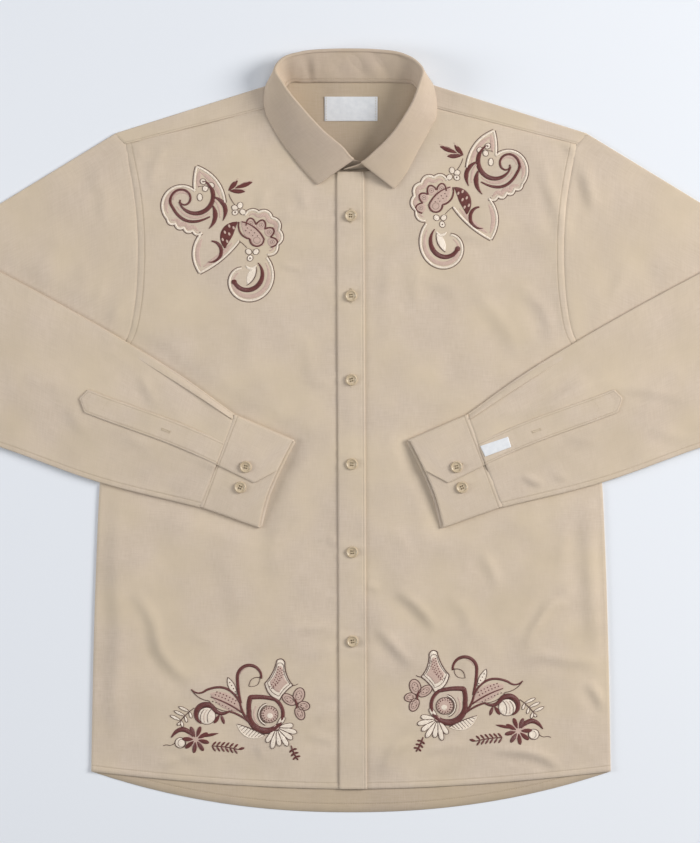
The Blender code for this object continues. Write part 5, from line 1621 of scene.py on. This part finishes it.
def sewHem(name):
    m = newMotif(name)
    crook = chain(bow((85, 51), (81.5, 25), 0.03), arc(93.5, 25, 12, 180, 366))
    line(m, crook, (2.0, 2.5, 2.7, 2.6, 1.6), wine)
    line(m, arc(93.5, 25, 9.6, 200, 262), (0.8, 1.3, 0.6), pink, 0.15, 0.2)
    line(m, bow((105, 25.5), (93, 34), -0.28), (1.2, 0.8, 0.7), brown)
    line(m, bow((104, 24), (93, 34), 0.3), (0.7,), brown)

    # hanging bell
    corners = ((121, 8), (109, 31), (123.5, 48), (137, 33), (129, 10))
    bends = (0.07, -0.16, 0.06, 0.1, -0.3)
    bell = chain(*(bow(*ends) for ends in zip(corners, corners[1:] + corners[:1], bends)))[:-1]
    middle = bell.mean(axis=0) - (0.6, 0)
    area(m, bell, cream, 50, 0.08, 0.25)
    area(m, middle + (bell - middle) * 0.66, pink, -40, 0.3, 0.15)
    line(m, bell, (1.2,), brown, 0.3, 0.35, True)
    line(m, middle + (bell - middle) * 0.8, (0.7,), brown, 0.4, 0.3, True)
    for row, count in enumerate((9, 9, 8, 6)):
        start = np.array((122.5, 14.5)) + row * np.array((1.9, 1.6))
        dots(m, spaced(bow(start, start + (-8.5, 2.2 * count), 0.08), count), 0.65, wine, 0.42)
    line(m, bow((136, 33), (142, 31.5), -0.1), (1, 0.9, 0.7), brown)

    # butterfly
    wings = ((-72, 9.5, 7.8, 5.6), (215, 8.5, 8, 4.7), (10, 8, 6, 4.4), (66, 9.6, 7, 4.6))
    for turn, reach, long, wide in wings:
        x, y = ray(140, 52, turn, reach)
        oval(m, x, y, long, wide, pink, brown, turn, 0.12, 1.1)
        line(m, ovalPoints(x, y, long * 0.6, wide * 0.55, turn, 9), (0.6,), brown, 0.35, 0.25, True)
        dots(m, [ray(x, y, turn + quarter, 2.2) for quarter in (0, 90, 180, 270)], 0.6, brown, 0.35)
    line(m, bow((138.8, 46.5), (141, 56), 0.06), (1.4, 2.2, 1.2), wine, 0.35)

    # round fruit with a corner
    fruitAt = (113.5, 62)
    skin = arc(110, 61.5, 17, -58, 188, None, 18)
    fruit = chain(skin, bow(skin[-1], (94.5, 45), 0.06), bow((94.5, 45), skin[0], 0.05))[:-1]
    line(m, arc(112, 61.5, 14, 215, 130), (1.5, 2.6, 2.6, 1.2), pink, 0.08, 0.12)
    line(m, arc(*fruitAt, 10.6, 255, 110), (1.6,), cream, 0.15, 0.2)
    for radius in (9.5, 11.7):
        line(m, arc(*fruitAt, radius, 255, 110), (0.8,), brown, 0.3)
    line(m, fruit, (3.0, 2.8, 3.0, 4.2, 5.2, 5.0, 4.2, 3.8, 3.8, 3.4, 3.0), wine, 0.3, 0.5, True)
    oval(m, *fruitAt, 8.6, 8.4, pink, brown, 0, 0.22, 0.8)
    dots(m, ovalPoints(*fruitAt, 6.2, 6.1, 0, 15), 0.7, wine, 0.45)
    dots(m, ovalPoints(*fruitAt, 7.6, 7.5, 9, 18), 0.5, brown, 0.4)
    oval(m, 114, 63.4, 3.0, 2.8, cream, None, 0, 0.4)

    # daisy hanging from it, and the ribbed leaf at its left
    daisyAt = (120.5, 75)
    for number, reach in enumerate((17, 21, 20, 22, 19, 22, 18)):
        turn = 22 * number - 8
        petal(m, ray(*daisyAt, turn, 3), ray(*daisyAt, turn, reach), 4.8, cream, brown, 1.0, 0.3)
    petal(m, (121.4, 73.6), (128.6, 64.4), 5, cream, brown, 0.6, 0.4)
    oval(m, *daisyAt, 2.8, 2.6, pink, None, 10, 0.5)
    top, low = bow((81, 71.5), (109, 83), 0.03, 11), bow((81, 71.5), (109, 83), -0.26, 11)
    area(m, np.concatenate((top, low[-2:0:-1])), cream, 30, 0.06, 0.15)
    line(m, low, (0.8, 1.6, 1.6, 0.8), cream)
    line(m, top, (0.8, 1.2, 1.2), brown)
    for place in range(2, 10):
        line(m, (top[place], low[place - 1]), (0.9, 0.5), brown, 0.25, 0.25)

    # long leaf on the stem
    line(m, bow((84, 49), (95.5, 71), -0.1), (1.5, 2.0, 2.0, 1.4), wine)
    line(m, bow((73, 59), (93, 70), 0.07), (1.6, 1.8, 1.0), wine)
    area(m, blade((54, 41), (87, 59), 15.5, 0.03), pink, -50, 0.08, 0.2)
    upperEdge = chain(bow((35.5, 37), (50, 38), -0.22), bow((50, 38), (84, 50.5), 0.24))
    lowerEdge = chain(bow((35.5, 37), (53, 48.5), -0.12), bow((53, 48.5), (73, 59), -0.12))
    line(m, upperEdge, (1.0, 1.9, 2.0, 1.6), wine)
    line(m, lowerEdge, (1.0, 0.8), brown)
    rib = bow((55, 44.5), (86, 60), 0.04)
    line(m, rib, (0.8, 1.5, 1.5), wine)
    beads = (((1.5, -3.2), 0.75, wine), ((2.8, -6.0), 0.75, wine), ((-1.3, 3.4), 0.65, brown))
    for off, size, slot in beads:
        dots(m, spaced(rib, 11)[1:8] + off, size, slot, 0.3)
    area(m, blade((72, 25), (81, 42), 6.4, -0.04), cream, 60, 0.1)
    line(m, blade((72, 25), (81, 42), 6.4, -0.04), (0.75,), brown, 0.3, 0.4, True)
    dots(m, spaced(((74, 30), (79.5, 39.5)), 4), 0.7, brown)

    # bud under its hood
    oval(m, 51, 63.5, 8.8, 8.4, cream, brown, 0, 0.15, 0.8)
    for off, slot in ((0, brown), (3.4, pink), (6.8, brown)):
        line(m, bow((45.5 + off, 70), (48.5 + off, 57), 0.16), (0.8,), slot, 0.45)
    line(m, chain(arc(50, 62, 9.8, 115, 312), bow((56.6, 54.7), (73.4, 59), -0.24)),
         (1.0, 3.2, 4.2, 4.3, 4.2, 3.3, 2.7, 1.6), wine, 0.45, 0.5)
    petal(m, (64, 62), ray(64, 62, 123, 11), 3.8, wine, None, 0.3)
    petal(m, (65, 62), ray(65, 62, 70, 10.5), 3.4, wine, None, 0.3)

    # pale spray, dark flower with its berry, two small sprigs
    stem = bow((21.5, 73), (38.5, 55.5), 0.05, 5)
    line(m, stem, (1.0, 1.1, 0.9), brown)
    leaflets(m, stem[1:4], ((205, 12, 2.8), (72, 7, 2.6)), cream, brown)
    petal(m, ray(*stem[0], -45, 5), stem[0], 2.8, cream, brown, 0.4)
    flowerAt = (40, 87)
    oval(m, *flowerAt, 8.6, 8.4, pink, None, 0, 0.05)
    for number in range(8):
        turn = 42 * number - 112
        petal(m, ray(*flowerAt, turn, 2.4), ray(*flowerAt, turn, 14), 4.3, wine, None, 0.6, 0.3)
    petal(m, (44, 84.6), (63, 80.8), 3, wine, None, 0.1, 0.3)
    line(m, bow((15.5, 85), (37.5, 84), 0.34), (1, 3, 3.9, 3.6, 1.6), wine)
    oval(m, 24.6, 90.4, 5.4, 5.2, cream, brown, 0, 0.2, 0.9)
    line(m, ovalPoints(25.8, 90.6, 3.6, 3.8, 0, 9), (0.7,), brown, 0.45, 0.25, True)
    line(m, chain(bow((19.4, 90), (13.5, 93), 0.12), bow((13.5, 93), (7.5, 93.4), -0.12)), (0.8,), brown)
    fern = bow((56, 93.5), (82, 97), 0.03, 7)
    line(m, fern, (0.9,), wine)
    leaflets(m, fern[:6], ((-45, 6.6, 2), (55, 7, 2)), wine)
    petal(m, (82, 97.2), (89, 95.4), 2.8, wine, None, 0.2)
    sprig = bow((135, 93), (142, 107.5), -0.04, 5)
    line(m, sprig, (0.9, 1.6, 1.2), wine)
    leaflets(m, sprig[1:4], ((-5, 5, 2.2), (130, 4.6, 2.2)), wine)
    return m


flosses = [wineFloss, creamFloss, pinkFloss, brownFloss]
motifs = {}
for name in motifCorners:
    drawn = sewChest(name) if name.startswith("chest") else sewHem(name)
    motifs[name] = layWork("embroidery" + name[0].upper() + name[1:], drawn["work"], frontTop, flosses)
print("embroidery made")


# Each piece hung under the root body, and the imported parts it stands for hidden
def join(piece, slotName, *nodes):
    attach(piece, "root")
    if nodes:
        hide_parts(*nodes)


panels = {
    "back": back, "yoke": yoke, "front_right": frontRight, "front_left": frontLeft, "placket": placket,
    "collar_stand": stand, "collar": leaf,
}
for node, piece in panels.items():
    join(piece, "cloth", node)
for word in ("right", "left"):
    join(sleeves[word], "cloth", "sleeve_" + word)
    join(sleevePlackets[word], "cloth", "sleeve_placket_" + word)
    join(pleats[word], "cloth")
    join(cuffs[word][0], "cloth", "cuff_" + word)
for node, piece in buttons.items():
    join(piece, "button", node)
join(neckLabel, "label", "neck_label")
join(sleeveLabel, "label", "sleeve_label")
for piece in (bodyStitches, sleeveStitches, cuffStitches, collarStitches, labelStitches, threads, holes,
              *motifs.values()):
    join(piece, "cloth")

# Sheets, listed but used no further: cut size in metres, cut area in square metres, how each is held, what
# it rests on, what is on it
cuts = [
    (back, (0.585, 0.70), 0.352, "laid", (), ()),
    (yoke, (0.53, 0.17), 0.058, "folded", ("backPanel",), ()),
    (frontRight, (0.305, 0.76), 0.192, "laid", ("backPanel",), (motifs["chestRight"], motifs["hemRight"])),
    (frontLeft, (0.29, 0.76), 0.183, "laid", ("backPanel",), (motifs["chestLeft"], motifs["hemLeft"])),
    (placket, (0.033, 0.685), 0.0205, "laid", ("frontWearersRight", "frontWearersLeft"), ()),
    (stand, (0.42, 0.042), 0.0138, "folded", ("shoulderYoke",), ()),
    (leaf, (0.44, 0.06), 0.018, "folded", ("shoulderYoke", "frontWearersRight", "frontWearersLeft"), ()),
    (neckLabel, (0.057, 0.0265), 0.0015, "laid", ("shoulderYoke",), ()),
    (sleeveLabel, (0.032, 0.0125), 0.00038, "laid", ("sleevePlacketLeft",), ()),
]
for word in ("right", "left"):
    side = word.title()
    cuts += [
        (sleeves[word], (0.50, 0.62), 0.20, "folded", ("frontWearers" + side,), ()),
        (pleats[word], (0.010, 0.18), 0.0013, "folded", ("sleeve" + side,), ()),
        (sleevePlackets[word], (0.026, 0.18), 0.0042, "laid", ("sleeve" + side,), ()),
        (cuffs[word][0], (0.25, 0.07), 0.016, "folded", ("frontWearers" + side,), ()),
    ]
for piece, flat, area, held, rests, sewn in cuts:
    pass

# Floor, lights and camera, straight above as in the photograph
studio = {
    "floor": "#EEF1F6", "floorShade": "#E6EAF1", "floorReach": 6000.0,
    "world": (0.93, 0.96, 1.0), "worldStrength": 0.24,
    "keyWatts": 143.0, "fillWatts": 46.0, "topWatts": 13.0,
    "pixels": (700, 843), "mmPerPixel": 1.08, "centre": (-1.08, 9.45), "distance": 4.0,
}


def makeFloor():
    made, tree, shader = newMaterial("paperSweep", 0.75)
    place = addNode(tree, "ShaderNodeTexCoord").outputs["Object"]
    cloud = noiseNode(tree, place, 1.3, 2.0)
    base = mixColours(tree, cloud, linear(studio["floorShade"]), linear(studio["floor"]))
    tree.links.new(base, shader.inputs["Base Color"])
    reach = studio["floorReach"]
    points = np.array([(x * reach, y * reach, -0.05) for x, y in ((-1, -1), (1, -1), (1, 1), (-1, 1))])
    floor = putMesh("floor", points, np.array([[0, 1, 2, 3]]), made)


def areaLight(name, place, size, watts, colour):
    lamp = bpy.data.lights.new(name, "AREA")
    lamp.shape = "DISK"
    lamp.size = size
    lamp.energy = watts
    lamp.color = colour
    made = bpy.data.objects.new(name, lamp)
    made.location = place
    aim = -np.array(place)
    lean = math.acos(-aim[2] / np.linalg.norm(aim))
    made.rotation_euler = (lean, 0, math.atan2(aim[1], aim[0]) - math.pi / 2)
    bpy.context.scene.collection.objects.link(made)


makeFloor()
areaLight("keySoftbox", (3.3, 0.9, 1.9), 1.9, studio["keyWatts"], (1.0, 0.985, 0.96))
areaLight("fillSoftbox", (-3.1, 0.0, 1.2), 1.3, studio["fillWatts"], (0.95, 0.97, 1.0))
areaLight("topSoftbox", (0.3, 0.6, 2.6), 1.8, studio["topWatts"], (1.0, 1.0, 1.0))
world = bpy.data.worlds.new("studioAir")
world.use_nodes = True
world.node_tree.nodes["Background"].inputs["Color"].default_value = (*studio["world"], 1.0)
world.node_tree.nodes["Background"].inputs["Strength"].default_value = studio["worldStrength"]
bpy.context.scene.world = world
bpy.context.scene.view_settings.view_transform = "Standard"    # cloth and thread keep their colours

lens = bpy.data.cameras.new("camera")
lens.sensor_fit = "VERTICAL"
lens.sensor_height = 36.0
fieldHigh = studio["pixels"][1] * studio["mmPerPixel"] * mm
lens.lens = lens.sensor_height * studio["distance"] / fieldHigh
lens.clip_end = 50.0
camera = bpy.data.objects.new("camera", lens)
camera.location = (studio["centre"][0] * mm, studio["centre"][1] * mm, studio["distance"])
bpy.context.scene.collection.objects.link(camera)
bpy.context.scene.camera = camera
print("camera, lights and floor set")
